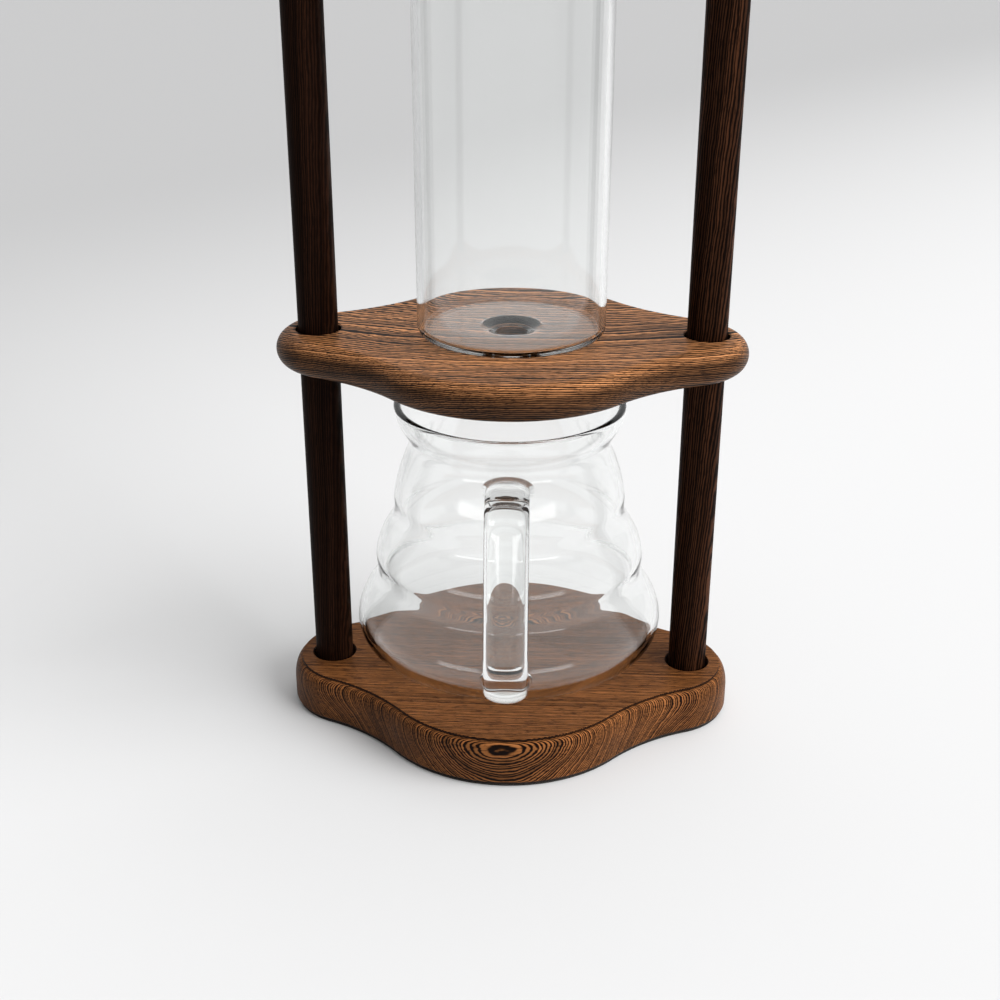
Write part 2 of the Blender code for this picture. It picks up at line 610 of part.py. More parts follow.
# Valve body: a turned block with an inlet tube, and a boss to the front that holds the needle
spigot_hole = SPIGOT_RADIUS + GAP
spigot_depth = SPIGOT_LENGTH + GAP
inlet_top = VALVE_HEIGHT + GAP + plug_top + INLET_PROUD
body = [(spigot_hole, 0), (spigot_hole, spigot_depth), (WATERWAY_RADIUS, spigot_depth)]
body += [(WATERWAY_RADIUS, inlet_top), (INLET_RADIUS, inlet_top), (INLET_RADIUS, VALVE_HEIGHT)]
body += [(VALVE_RADIUS, VALVE_HEIGHT), (VALVE_RADIUS, 0)]
valve_body = turned("valve_body", body, BRASS, place=(0, 0, VALVE_BOTTOM))
boss_start = VALVE_RADIUS / 2
boss_face = VALVE_RADIUS + BOSS_LENGTH
pocket_face = boss_face - PACKING_LENGTH - GAP
needle_hole = NEEDLE_RADIUS + GAP
boss = cylinder_cutter("valve_boss", (0, -boss_start, VALVE_AXIS), (0, -boss_face, VALVE_AXIS), BOSS_RADIUS)
needle_bore = cylinder_cutter("needle_bore", (0, NEEDLE_REACH + GAP, VALVE_AXIS),
                              (0, -boss_face - BOSS_RADIUS, VALVE_AXIS), needle_hole)
packing_pocket = cylinder_cutter("packing_pocket", (0, -pocket_face, VALVE_AXIS),
                                 (0, -boss_face - BOSS_RADIUS, VALVE_AXIS), PACKING_RADIUS + GAP)
combine(valve_body, boss, "UNION")
combine(valve_body, needle_bore, "DIFFERENCE")
combine(valve_body, packing_pocket, "DIFFERENCE")

# Packing, gland nut, needle and knob, all about the needle's axis, which runs out to the front
needle_place = (0, 0, VALVE_AXIS)
to_front = (math.pi / 2, 0, 0)
packing = [(needle_hole, pocket_face + GAP), (needle_hole, boss_face), (PACKING_RADIUS, boss_face),
           (PACKING_RADIUS, pocket_face + GAP)]
turned("valve_packing", packing, SILICONE, needle_place, to_front)
gland_hole = BOSS_RADIUS + GAP
gland_inner = boss_face + GAP
gland_face = gland_inner + GLAND_WALL
gland_back = boss_face - GLAND_OVERLAP
gland_corner = (gland_hole + GLAND_SIDE_WALL) / math.cos(math.pi / 6)
gland = [(0, gland_face), (gland_corner, gland_face), (gland_corner, gland_back), (0, gland_back)]
gland_nut = turned("gland_nut", gland, BRASS, needle_place, to_front, steps=6)
gland_thread = cylinder_cutter("gland_thread", (0, 0, VALVE_AXIS), (0, -gland_inner, VALVE_AXIS), gland_hole)
gland_bore = cylinder_cutter("gland_bore", (0, 0, VALVE_AXIS), (0, -gland_face - GLAND_WALL, VALVE_AXIS),
                             needle_hole)
combine(gland_nut, gland_thread, "DIFFERENCE")
combine(gland_nut, gland_bore, "DIFFERENCE")
knob_back = gland_face + GAP
knob_face = knob_back + KNOB_LENGTH
hole_end = knob_face - KNOB_FACE
needle_end = hole_end - GAP
needle = [(0, needle_end), (NEEDLE_RADIUS, needle_end), (NEEDLE_RADIUS, NEEDLE_TIP_LENGTH - NEEDLE_REACH),
          (NEEDLE_TIP_RADIUS, -NEEDLE_REACH), (0, -NEEDLE_REACH)]
turned("valve_needle", needle, STEEL, needle_place, to_front)
knob = [(0, knob_face)] + rounded_disc(KNOB_RADIUS, knob_back, knob_face, KNOB_ROUND)
knob += [(needle_hole, knob_back), (needle_hole, hole_end), (0, hole_end)]
turned("valve_knob", knob, POST_WOOD, needle_place, to_front)

# Nozzle: a tapered tip with a spigot in the valve body
spigot_top = NOZZLE_LENGTH + SPIGOT_LENGTH
nozzle = [(WATERWAY_RADIUS, 0), (WATERWAY_RADIUS, spigot_top), (SPIGOT_RADIUS, spigot_top),
          (SPIGOT_RADIUS, NOZZLE_LENGTH), (NOZZLE_RADIUS, NOZZLE_LENGTH), (NOZZLE_RADIUS, NOZZLE_LENGTH / 2),
          (NOZZLE_TIP_RADIUS, 0)]
turned("drip_nozzle", nozzle, BRASS, place=(0, 0, NOZZLE_TIP))

# Lid: a turned disc with a plug below it, and a knob held by a screw from below
lid_radius = VESSEL_RADIUS + LID_OVERHANG
plug_outer = vessel_inner - LID_PLUG_CLEARANCE
lid_plug = LID_BOTTOM - LID_PLUG_DEPTH
lid_seat = lid_plug + SCREW_SINK
lid_side = rounded_disc(lid_radius, LID_BOTTOM, LID_TOP, LID_ROUND)
lid = [(SCREW_HOLE_RADIUS, lid_seat + SCREW_HEAD_HEIGHT + GAP), (SCREW_HOLE_RADIUS, LID_TOP)] + lid_side
lid += [(plug_outer, LID_BOTTOM), (plug_outer, lid_plug), (HEAD_HOLE_RADIUS, lid_plug),
        (HEAD_HOLE_RADIUS, lid_seat + SCREW_HEAD_HEIGHT + GAP)]
turned("reservoir_lid", lid, PLATE_WOOD, steps=LARGE_STEPS)
knob_bottom = LID_TOP + GAP
ball_start = math.acos(LID_KNOB_STEM_RADIUS / LID_KNOB_RADIUS)
ball_level = knob_bottom + LID_KNOB_STEM_HEIGHT + LID_KNOB_RADIUS * math.sin(ball_start)
knob_top = ball_level + LID_KNOB_RADIUS
screw_tip = knob_bottom + LID_SCREW_BITE
grip = [(0, knob_top)] + arc((0, ball_level), LID_KNOB_RADIUS, math.pi / 2, -ball_start, 10)[1:]
grip += [(LID_KNOB_STEM_RADIUS, knob_bottom), (SCREW_HOLE_RADIUS, knob_bottom),
         (SCREW_HOLE_RADIUS, screw_tip + GAP), (0, screw_tip + GAP)]
turned("lid_knob", grip, POST_WOOD)
lid_shank = screw_tip - lid_seat - SCREW_HEAD_HEIGHT
turned("lid_screw", screw_profile(lid_shank), STEEL, place=(0, 0, lid_seat), turn=(math.pi, 0, 0))
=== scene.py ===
import math

import bmesh
import bpy
import numpy as np
from mathutils import Matrix, Vector


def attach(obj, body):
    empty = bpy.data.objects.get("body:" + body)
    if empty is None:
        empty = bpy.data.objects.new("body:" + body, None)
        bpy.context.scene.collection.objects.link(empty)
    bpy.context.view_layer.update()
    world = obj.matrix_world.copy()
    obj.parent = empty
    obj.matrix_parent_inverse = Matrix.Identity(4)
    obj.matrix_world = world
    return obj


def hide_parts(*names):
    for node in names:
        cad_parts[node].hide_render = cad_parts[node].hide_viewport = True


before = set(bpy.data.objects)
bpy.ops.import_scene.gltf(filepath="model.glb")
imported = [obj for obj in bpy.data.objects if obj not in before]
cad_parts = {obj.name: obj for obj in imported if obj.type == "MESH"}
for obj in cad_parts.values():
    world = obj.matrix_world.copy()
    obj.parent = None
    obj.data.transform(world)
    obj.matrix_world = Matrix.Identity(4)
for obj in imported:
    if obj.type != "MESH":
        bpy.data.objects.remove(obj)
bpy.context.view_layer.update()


# Base plate: one board of dark hardwood with fine growth layers, sawn to four lobes. Its upper edge is routed
# to a long shoulder that leaves a fine step. Two blind holes take the posts, and a screw comes up into each.
HALF_DEPTH = 0.0602
HALF_WIDTH = 0.0824
FRONT_LOBE = 0.0521
POST_LOBE = 0.0245
HOLLOW = 0.0740
RIM_POINTS = 40
SHARP = math.radians(38)
BASE_MARGIN = 0.0006
BASE_BOTTOM = 0.0012
BASE_TOP = 0.0180
BOTTOM_ROUND = 0.0013
STEP_INSET = 0.0030
STEP_HEIGHT = 0.0010
STEP_LEVEL = BASE_TOP - STEP_HEIGHT
STEP_EASE = 0.0002
SHOULDER = 0.0078
FIELD_MARGIN = 0.0010
POST_X = 0.0677
POST_HOLE = 0.0080
POST_HOLE_ABOVE = 0.0070
POST_HOLE_FLOOR = BASE_BOTTOM + POST_HOLE_ABOVE
HOLE_EASE = 0.0004
SCREW_HOLE = 0.0023
HEAD_HOLE = 0.0043
HEAD_POCKET = 0.0029
HEAD_SINK = 0.0010
BASE_SCREW_SEAT = BASE_BOTTOM + HEAD_SINK
BEYOND = 0.0010
SIDES = {"left": -POST_X, "right": POST_X}


def plate_rim():
    """Plan outline of a plate, with its outward normals, anticlockwise from the middle of the front.

    A quarter is an arc of the front lobe, an arc of the hollow that touches both lobes, and an arc of the
    post lobe. A point is centre + radius (cos a, sin a). The other quarters are mirror images of the first.
    """
    front = np.array([0.0, FRONT_LOBE - HALF_DEPTH])
    side = np.array([HALF_WIDTH - POST_LOBE, 0.0])
    distance = np.hypot(*(side - front))
    along = (side - front) / distance
    across = np.array([along[1], -along[0]])
    to_front = FRONT_LOBE + HOLLOW
    to_side = POST_LOBE + HOLLOW
    reach = (to_front ** 2 - to_side ** 2 + distance ** 2) / (2 * distance)
    hollow = front + reach * along + math.sqrt(to_front ** 2 - reach ** 2) * across
    front_end = math.atan2(*(hollow - front)[::-1])
    side_start = math.atan2(*(hollow - side)[::-1])
    points, normals = [], []
    arcs = ((front, FRONT_LOBE, -math.pi / 2, front_end, 1),
            (hollow, HOLLOW, front_end + math.pi, side_start + math.pi, -1),
            (side, POST_LOBE, side_start, 0, 1))
    for centre, radius, start, end, facing in arcs:
        angle = np.linspace(start, end, RIM_POINTS, endpoint=False)
        ray = np.stack([np.cos(angle), np.sin(angle)], axis=1)
        points.append(centre + radius * ray)
        normals.append(facing * ray)
    quarter = np.stack([np.vstack(points), np.vstack(normals)])
    tip = np.array([[[HALF_WIDTH, 0.0]], [[1.0, 0.0]]])
    right = np.concatenate([quarter, tip, quarter[:, ::-1] * [1, -1]], axis=1)
    return np.concatenate([right, right[:, -2:0:-1] * [-1, 1]], axis=1)


def skin(name, grid, capped=False):
    """Mesh of a grid of points: every four neighbours make a face, each row closes on itself, and seams and
    poles are merged. Caps close the first and last row."""
    rows, columns = grid.shape[:2]
    corner = np.arange(rows * columns).reshape(rows, columns)
    beside = np.roll(corner, -1, axis=1)
    faces = np.stack([corner[:-1], beside[:-1], beside[1:], corner[1:]], axis=-1).reshape(-1, 4).tolist()
    if capped:
        faces += [corner[0, ::-1].tolist(), corner[-1].tolist()]
    mesh = bpy.data.meshes.new(name)
    mesh.from_pydata(grid.reshape(-1, 3).tolist(), [], faces)
    form = bmesh.new()
    form.from_mesh(mesh)
    bmesh.ops.remove_doubles(form, verts=form.verts, dist=1e-7)
    bmesh.ops.recalc_face_normals(form, faces=form.faces)
    form.to_mesh(mesh)
    form.free()
    mesh.shade_smooth()
    mesh.set_sharp_from_angle(angle=SHARP)
    piece = bpy.data.objects.new(name, mesh)
    bpy.context.scene.collection.objects.link(piece)
    return piece


def plate(name, edge):
    """Plate through rings of its outline. The edge is (inset, height) rows from the bottom up: a ring is the
    outline less the inset times its normals, at that height."""
    points, normals = plate_rim()
    inset = edge[:, 0, None, None]
    plan = points - inset * normals
    height = np.broadcast_to(edge[:, 1, None, None], plan.shape[:2] + (1,))
    return skin(name, np.concatenate([plan, height], axis=-1), capped=True)


def round_steps(steps):
    """Angles of even steps round a circle, and each one's angle from the middle of its side of a hexagon."""
    angle = np.linspace(0, 2 * np.pi, steps, endpoint=False)
    return angle, np.mod(angle + np.pi / 6, np.pi / 3) - np.pi / 6


def round_skin(name, radius, height, angle):
    """Skin round the Z axis, a row of radii for each height: x = r cos a, y = r sin a, z = height."""
    height = np.broadcast_to(height, radius.shape)
    return skin(name, np.stack([radius * np.cos(angle), radius * np.sin(angle), height], axis=-1))


def turned(name, profile, steps=64, closed=False, flats=None):
    """Surface of revolution of (radius, height) rows. On rows with flats, the radius is at most a hexagon's,
    flats / cos(angle from the middle of its side)."""
    profile = np.asarray(profile, float)
    flats = np.full(len(profile), np.inf) if flats is None else np.asarray(flats, float)
    if closed:
        profile = np.vstack([profile, profile[:1]])
        flats = np.append(flats, flats[0])
    angle, from_side = round_steps(steps)
    radius = np.minimum(profile[:, :1], flats[:, None] / np.cos(from_side))
    return round_skin(name, radius, profile[:, 1:], angle)


def carved(piece, adds=(), cuts=()):
    """Join helper pieces to a piece, cut others out of it, and remove the helpers."""
    for helpers, operation in ((adds, "UNION"), (cuts, "DIFFERENCE")):
        for helper in helpers:
            step = piece.modifiers.new(helper.name, "BOOLEAN")
            step.solver = "EXACT"
            step.operation = operation
            step.object = helper
    bpy.context.view_layer.update()
    finished = bpy.data.meshes.new_from_object(piece.evaluated_get(bpy.context.evaluated_depsgraph_get()))
    piece.modifiers.clear()
    plain = piece.data
    piece.data = finished
    bpy.data.meshes.remove(plain)
    finished.name = piece.name
    finished.shade_smooth()
    finished.set_sharp_from_angle(angle=SHARP)
    for helper in (*adds, *cuts):
        bpy.data.objects.remove(helper, do_unlink=True)
    return piece


def moved(piece, place):
    """Put a piece in its place by its mesh."""
    piece.data.transform(place)
    return piece


def arc(centre, radius, start, end, count=12, half_height=None):
    """Points on a circle about a centre, from angle to angle in degrees: centre + radius (cos a, sin a).
    With a half height it is an ellipse, and the radius is its half width."""
    angle = np.radians(np.linspace(start, end, count))
    rise = radius if half_height is None else half_height
    return np.stack([centre[0] + radius * np.cos(angle), centre[1] + rise * np.sin(angle)], axis=1)


def add_node(tree, kind, inputs=None, **settings):
    """Add a shader node, set its properties, and give its inputs values or links."""
    made = tree.nodes.new(kind)
    for key, value in settings.items():
        setattr(made, key, value)
    for key, value in (inputs or {}).items():
        if isinstance(value, bpy.types.NodeSocket):
            tree.links.new(value, made.inputs[key])
        else:
            made.inputs[key].default_value = value
    return made


def drawn_noise(tree, point, stretch, detail=2.0, roughness=0.5):
    """Noise of a point whose axes are scaled by three numbers, each features per metre."""
    drawn = add_node(tree, "ShaderNodeVectorMath", {0: point, 1: stretch}, operation="MULTIPLY")
    noise = add_node(tree, "ShaderNodeTexNoise",
                     {"Vector": drawn.outputs[0], "Scale": 1.0, "Detail": detail, "Roughness": roughness})
    return noise.outputs["Fac"]


def sum_of(tree, operation, *terms):
    """Result of a Math node."""
    return add_node(tree, "ShaderNodeMath", dict(enumerate(terms)), operation=operation).outputs[0]


def ranged(tree, value, low, high, to_low=0.0, to_high=1.0):
    """A value eased from one range into another."""
    return add_node(tree, "ShaderNodeMapRange",
                    {"Value": value, "From Min": low, "From Max": high, "To Min": to_low, "To Max": to_high},
                    interpolation_type="SMOOTHSTEP").outputs["Result"]


def growth_layers():
    """Shader group of layered timber: fibres run along the point's x axis, and layers are stacked along z.

    Height among the layers = z + Lean . p + Curve . p^2 + Sway (slow noise - 1/2), in layers, with a wobble
    and layers of uneven thickness. The layers are a sine of it, broken into dashes by a noise drawn out along
    the fibres. Flecks are the pores, and Tone differs from layer to layer and along the board.
    """
    tree = bpy.data.node_groups.new("growth_layers", "ShaderNodeTree")
    for name in ("Point", "Lean", "Curve"):
        tree.interface.new_socket(name, in_out="INPUT", socket_type="NodeSocketVector")
    for name in ("Spacing", "Sway", "Break"):
        tree.interface.new_socket(name, in_out="INPUT", socket_type="NodeSocketFloat")
    for name in ("Layer", "Fleck", "Tone"):
        tree.interface.new_socket(name, in_out="OUTPUT", socket_type="NodeSocketFloat")
    given = tree.nodes.new("NodeGroupInput").outputs
    point = given["Point"]

    def around_zero(stretch, detail=1.0, roughness=0.5):
        return sum_of(tree, "SUBTRACT", drawn_noise(tree, point, stretch, detail, roughness), 0.5)

    def dot(first, second):
        product = add_node(tree, "ShaderNodeVectorMath", {0: first, 1: second}, operation="DOT_PRODUCT")
        return product.outputs["Value"]

    squared = add_node(tree, "ShaderNodeVectorMath", {0: point, 1: point}, operation="MULTIPLY").outputs[0]
    level = sum_of(tree, "ADD", add_node(tree, "ShaderNodeSeparateXYZ", {0: point}).outputs["Z"],
                   dot(given["Lean"], point))
    level = sum_of(tree, "ADD", level, dot(given["Curve"], squared))
    level = sum_of(tree, "MULTIPLY_ADD", around_zero((14, 36, 36)), given["Sway"], level)
    level = sum_of(tree, "DIVIDE", level, given["Spacing"])
    level = sum_of(tree, "MULTIPLY_ADD", around_zero((50, 170, 170)), 1.1, level)
    level = sum_of(tree, "MULTIPLY_ADD", around_zero((170, 560, 560)), 0.7, level)
    uneven = add_node(tree, "ShaderNodeTexNoise", {"W": level, "Scale": 0.45, "Detail": 1.0},
                      noise_dimensions="1D").outputs["Fac"]
    level = sum_of(tree, "MULTIPLY_ADD", uneven, 1.2, level)
    wave = sum_of(tree, "SINE", sum_of(tree, "MULTIPLY", level, 2 * math.pi))
    broken = sum_of(tree, "MULTIPLY_ADD", around_zero((190, 1300, 1300), 2.0, 0.6), given["Break"], wave)
    pores = drawn_noise(tree, point, (270, 1500, 1500), 2.0, 0.6)
    tone = sum_of(tree, "MULTIPLY_ADD", around_zero((12, 90, 90), 3.0, 0.6), 0.7, uneven)
    add_node(tree, "NodeGroupOutput", {"Layer": ranged(tree, broken, -0.6, 0.7),
                                       "Fleck": ranged(tree, pores, 0.54, 0.66), "Tone": tone})
    return tree


LAYERS = growth_layers()


def material(name):
    """An empty node material, with its shader."""
    made = bpy.data.materials.new(name)
    made.use_nodes = True
    return made, made.node_tree, made.node_tree.nodes["Principled BSDF"]


def blend(tree, first, second, share):
    """Colour mixed from two colours by a share."""
    mix = add_node(tree, "ShaderNodeMix", {"Factor": share, 6: first, 7: second}, data_type="RGBA")
    return mix.outputs[2]


def coat(tree, shader, colour, roughness, height, strength, distance):
    """Link a colour and a roughness to a shader, and a height as its bump."""
    bump = add_node(tree, "ShaderNodeBump", {"Height": height, "Strength": strength, "Distance": distance})
    for key, value in (("Base Color", colour), ("Roughness", roughness), ("Normal", bump.outputs[0])):
        tree.links.new(value, shader.inputs[key])


def timber(name, middle, fibre, across, spacing, sway, dark, light, lean=(0, 0, 0), curve=(0, 0, 0),
           gloss=0.40, shine=0.08, breaks=1.8, shade_bands=(), edge=1.0):
    """Oiled layered timber. The point is turned so that x runs with the fibres and z across the layers,
    counted from a middle. Each range of heights listed as a band is painted darker as shade, and edge is
    the tone of the sides and the underside, painted darker than the top as shade."""
    made, tree, shader = material(name)
    run = Vector(fibre).normalized()
    up = Vector(across)
    up = (up - up.dot(run) * run).normalized()
    turn = Matrix((run, up.cross(run), up))
    place = add_node(tree, "ShaderNodeTexCoord").outputs["Object"]
    mapped = add_node(tree, "ShaderNodeMapping", {"Vector": place, "Location": -(turn @ Vector(middle)),
                                                  "Rotation": turn.to_euler("XYZ")})
    grain = add_node(tree, "ShaderNodeGroup", {"Point": mapped.outputs[0], "Lean": lean, "Curve": curve,
                                               "Spacing": spacing, "Sway": sway, "Break": breaks},
                     node_tree=LAYERS)
    layer = grain.outputs["Layer"]
    colour = blend(tree, (*dark, 1), (*light, 1), layer)
    shade = ranged(tree, grain.outputs["Tone"], 0.2, 0.8, 0.55, 1.4)
    # Painted shade: the sides and the underside are darker than the top, by how far the normal turns from
    # straight up.
    normal = add_node(tree, "ShaderNodeTexCoord").outputs["Normal"]
    facing = add_node(tree, "ShaderNodeSeparateXYZ", {0: normal}).outputs["Z"]
    side_shade = ranged(tree, facing, 0.3, 0.9, edge, 1.0)
    shade = sum_of(tree, "MULTIPLY", shade, side_shade)
    toned = add_node(tree, "ShaderNodeVectorMath", {0: colour, "Scale": shade}, operation="SCALE").outputs[0]
    flecked = blend(tree, toned, (*dark, 1), sum_of(tree, "MULTIPLY", grain.outputs["Fleck"], 0.55))
    height = add_node(tree, "ShaderNodeSeparateXYZ", {0: place}).outputs["Z"]
    # Painted shade: within each band of heights the wood is blended toward its dark layer colour.
    for low, high in shade_bands:
        above = sum_of(tree, "GREATER_THAN", height, low)
        below = sum_of(tree, "LESS_THAN", height, high)
        painted_shade = sum_of(tree, "MULTIPLY", sum_of(tree, "MULTIPLY", above, below), 0.85)
        flecked = blend(tree, flecked, (*dark, 1), painted_shade)
    rise = sum_of(tree, "SUBTRACT", sum_of(tree, "MULTIPLY", layer, 0.5), grain.outputs["Fleck"])
    coat(tree, shader, flecked, ranged(tree, layer, 0.0, 1.0, gloss + 0.10, gloss), rise, 0.25, 0.0001)
    shader.inputs["Specular IOR Level"].default_value = shine
    return made


def fit(piece, finish, body, slot, *nodes):
    """Give a piece its finish, and let it ride on a body in place of its CAD nodes."""
    piece.data.materials.clear()
    piece.data.materials.append(finish)
    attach(piece, body)
    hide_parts(*nodes)
    return piece


LAYER_DARK = (0.006, 0.002, 0.0009)
LAYER_LIGHT = (0.33, 0.124, 0.038)
# Painted shade on the base: its sides are darker than its top, its step riser is painted dark as the shade in
# the crease, and a band along its foot is painted dark as the shade under it.
SHADE_EASE = 0.00005
FOOT_SHADE = 0.0008
base_wood = timber("base_wood", (0, -0.00026, 0.009), (1, 0, 0), (0.02, -0.91, 0.42), 0.00043, 0.0020,
                   LAYER_DARK, LAYER_LIGHT, breaks=2.6, edge=0.62,
                   shade_bands=((STEP_LEVEL + SHADE_EASE, BASE_TOP - SHADE_EASE), (0, BASE_BOTTOM + FOOT_SHADE)))
base_edge = np.vstack([
    [[BOTTOM_ROUND + FIELD_MARGIN, BASE_BOTTOM]],
    arc((BOTTOM_ROUND, BASE_BOTTOM + BOTTOM_ROUND), BOTTOM_ROUND, 270, 180),
    arc((STEP_INSET, STEP_LEVEL - SHOULDER), STEP_INSET, 180, 90, 24, SHOULDER),
    arc((STEP_INSET + STEP_EASE, BASE_TOP - STEP_EASE), STEP_EASE, 180, 90, 4),
    [[STEP_INSET + FIELD_MARGIN, BASE_TOP]]])
base = plate("base_board", base_edge - [BASE_MARGIN, 0])
seat_end = BASE_SCREW_SEAT + HEAD_POCKET
base_hole = [(0, BASE_BOTTOM - BEYOND), (HEAD_HOLE, BASE_BOTTOM - BEYOND), (HEAD_HOLE, seat_end),
             (SCREW_HOLE, seat_end), (SCREW_HOLE, POST_HOLE_FLOOR), (POST_HOLE, POST_HOLE_FLOOR),
             (POST_HOLE, BASE_TOP - HOLE_EASE), (POST_HOLE + HOLE_EASE, BASE_TOP),
             (POST_HOLE + HOLE_EASE, BASE_TOP + BEYOND), (0, BASE_TOP + BEYOND)]
base_holes = [moved(turned(f"base_hole_{side}", base_hole, 96), Matrix.Translation((x, 0, 0)))
              for side, x in SIDES.items()]
fit(carved(base, cuts=base_holes), base_wood, "stand", "plate_wood", "base_plate")


# Felt: one sheet of dark pressed-wool felt, cut to the base's outline and glued under it. It hides the
# screws and is what the tower stands on.
# The felt is set flush with the base's outline, so its near-black edge also serves as the painted shadow line
# under the base.
FELT_INSET = 0.0003
FELT_THICKNESS = 0.0009
FELT_EASE = 0.0003
FELT_DARK = (0.012, 0.011, 0.010, 1)
FELT_LIGHT = (0.055, 0.05, 0.046, 1)
FELT_MOTTLE = (0.03, 0.027, 0.025, 1)


def felt_finish():
    """Pressed felt: short fibres lying every way, as two fine noises in colour and height."""
    made, tree, shader = material("dark_felt")
    place = add_node(tree, "ShaderNodeTexCoord").outputs["Object"]
    fibres = drawn_noise(tree, place, (1900, 1900, 1900), 4.0, 0.7)
    mottle = drawn_noise(tree, place, (240, 240, 240), 2.0)
    colour = blend(tree, FELT_DARK, FELT_LIGHT, ranged(tree, fibres, 0.3, 0.75))
    colour = blend(tree, colour, FELT_MOTTLE, sum_of(tree, "MULTIPLY", mottle, 0.5))
    coat(tree, shader, colour, ranged(tree, fibres, 0.2, 0.8, 0.88, 1.0), fibres, 0.6, 0.0003)
    shader.inputs["Specular IOR Level"].default_value = 0.15
    return made


felt_edge = np.vstack([
    arc((FELT_EASE, FELT_EASE), FELT_EASE, 270, 180, 4),
    arc((FELT_EASE, FELT_THICKNESS - FELT_EASE), FELT_EASE, 180, 90, 4)])
felt = fit(plate("felt_sheet", felt_edge + [FELT_INSET, 0]), felt_finish(), "stand", "felt", "base_felt")
felt_ring = plate_rim()[0] - FELT_INSET * plate_rim()[1]


# Posts: two turned dowels of near-black hardwood with a rounded top end. They stand loosely in the holes of
# the base and the shelves, and screws from below and behind hold them.
POST_RADIUS = 0.0070
POST_BOTTOM = 0.0085
POST_TOP = 0.380382
POST_ROUND = 0.0030
FOOT_EASE = 0.0004
SCREW_RISE = 0.0080
TIP_ROOM = 0.0003
PILOT_END = POST_BOTTOM + SCREW_RISE + TIP_ROOM
MIDDLE_BOTTOM = 0.1359
MIDDLE_TOP = 0.1481
TOP_BOTTOM = 0.360182
TOP_TOP = 0.372382
SHELF_MIDDLES = ((MIDDLE_BOTTOM + MIDDLE_TOP) / 2, (TOP_BOTTOM + TOP_TOP) / 2)
SCREW_TIP = -0.0010
POST_DARK = (0.0042, 0.0018, 0.0011)
SHADED_LEFT_POST_LAYER = (0.015, 0.0056, 0.0028)
POST_LIGHT = (0.038, 0.0145, 0.0068)
TO_BACK = Matrix.Rotation(-math.pi / 2, 4, "X")

post_profile = np.vstack([
    [[0, PILOT_END], [SCREW_HOLE, PILOT_END], [SCREW_HOLE, POST_BOTTOM],
     [POST_RADIUS - FOOT_EASE, POST_BOTTOM], [POST_RADIUS, POST_BOTTOM + FOOT_EASE]],
    arc((POST_RADIUS - POST_ROUND, POST_TOP - POST_ROUND), POST_ROUND, 0, 90),
    [[0, POST_TOP]]])
post_finish = {"dark": POST_DARK, "gloss": 0.42, "shine": 0.02, "breaks": 2.6}
# Painted shade: the left post's light layers are darker than the right post's, standing in for the shade on
# the left post.
post_woods = {
    "left": timber("shaded_left_post_wood", (-POST_X, 0, 0.2), (0.03, 0.02, 1), (1, -0.30, 0), 0.0007, 0.0026,
                   light=SHADED_LEFT_POST_LAYER, **post_finish),
    "right": timber("right_post_wood", (POST_X, 0, 0.2), (0.05, 0, 1), (1, -0.35, 0), 0.0008, 0.003,
                    light=POST_LIGHT, **post_finish)}
pilot = [(0, SCREW_TIP - TIP_ROOM), (SCREW_HOLE, SCREW_TIP - TIP_ROOM), (SCREW_HOLE, POST_RADIUS + BEYOND),
         (0, POST_RADIUS + BEYOND)]
for side, x in SIDES.items():
    post = moved(turned(f"{side}_dowel", post_profile, 72), Matrix.Translation((x, 0, 0)))
    pilots = [moved(turned(f"{side}_pilot_{z:.2f}", pilot, 24), Matrix.Translation((x, 0, z)) @ TO_BACK)
              for z in SHELF_MIDDLES]
    fit(carved(post, cuts=pilots), post_woods[side], "stand", "post_wood", f"post_{side}")


# Shelves: two boards like the base, with a full round edge. The middle one has a drip hole for the chamber's
# spout, the top one a wide hole that the water vessel's cone sits in. Screw holes run in from the back edge.
SHELF_ROUND = 0.0061
DRIP_HOLE = 0.0090
SEAT_HOLE = 0.0320
BACK_EDGE = 0.022388
HEAD_FACE = 0.019388
HEAD_END = HEAD_FACE - HEAD_POCKET
# Painted light: the shelves' light layers are lighter than the base's, standing in for the light and sheen on
# the shelf tops.
SHELF_LIT_LAYER = (0.50, 0.215, 0.083)

# Painted shade: the shelves' sides and undersides are painted far darker than their tops.
shelf_finish = {"spacing": 0.00064, "sway": 0.0022, "dark": LAYER_DARK, "light": SHELF_LIT_LAYER, "gloss": 0.36,
                "shine": 0.10, "breaks": 2.6, "edge": 0.24}
shelf_woods = {
    "middle": timber("middle_shelf_wood", (0, -0.045, SHELF_MIDDLES[0]), (0.95, 0.31, 0), (0, 0, 1),
                     lean=(0.12, 0.42, 0), curve=(-0.7, -1.2, 0), **shelf_finish),
    "top": timber("top_shelf_wood", (0.02, 0.045, SHELF_MIDDLES[1]), (0.97, -0.24, 0), (0, 0, 1),
                  lean=(-0.10, 0.45, 0), curve=(0.6, -1.2, 0), **shelf_finish)}


def through_hole(name, radius, bottom, top, x=0.0):
    """Cutter for a hole through a board, with a small chamfer at both faces."""
    profile = [(0, bottom - BEYOND), (radius + HOLE_EASE, bottom - BEYOND), (radius + HOLE_EASE, bottom),
               (radius, bottom + HOLE_EASE), (radius, top - HOLE_EASE), (radius + HOLE_EASE, top),
               (radius + HOLE_EASE, top + BEYOND), (0, top + BEYOND)]
    return moved(turned(name, profile, 96), Matrix.Translation((x, 0, 0)))


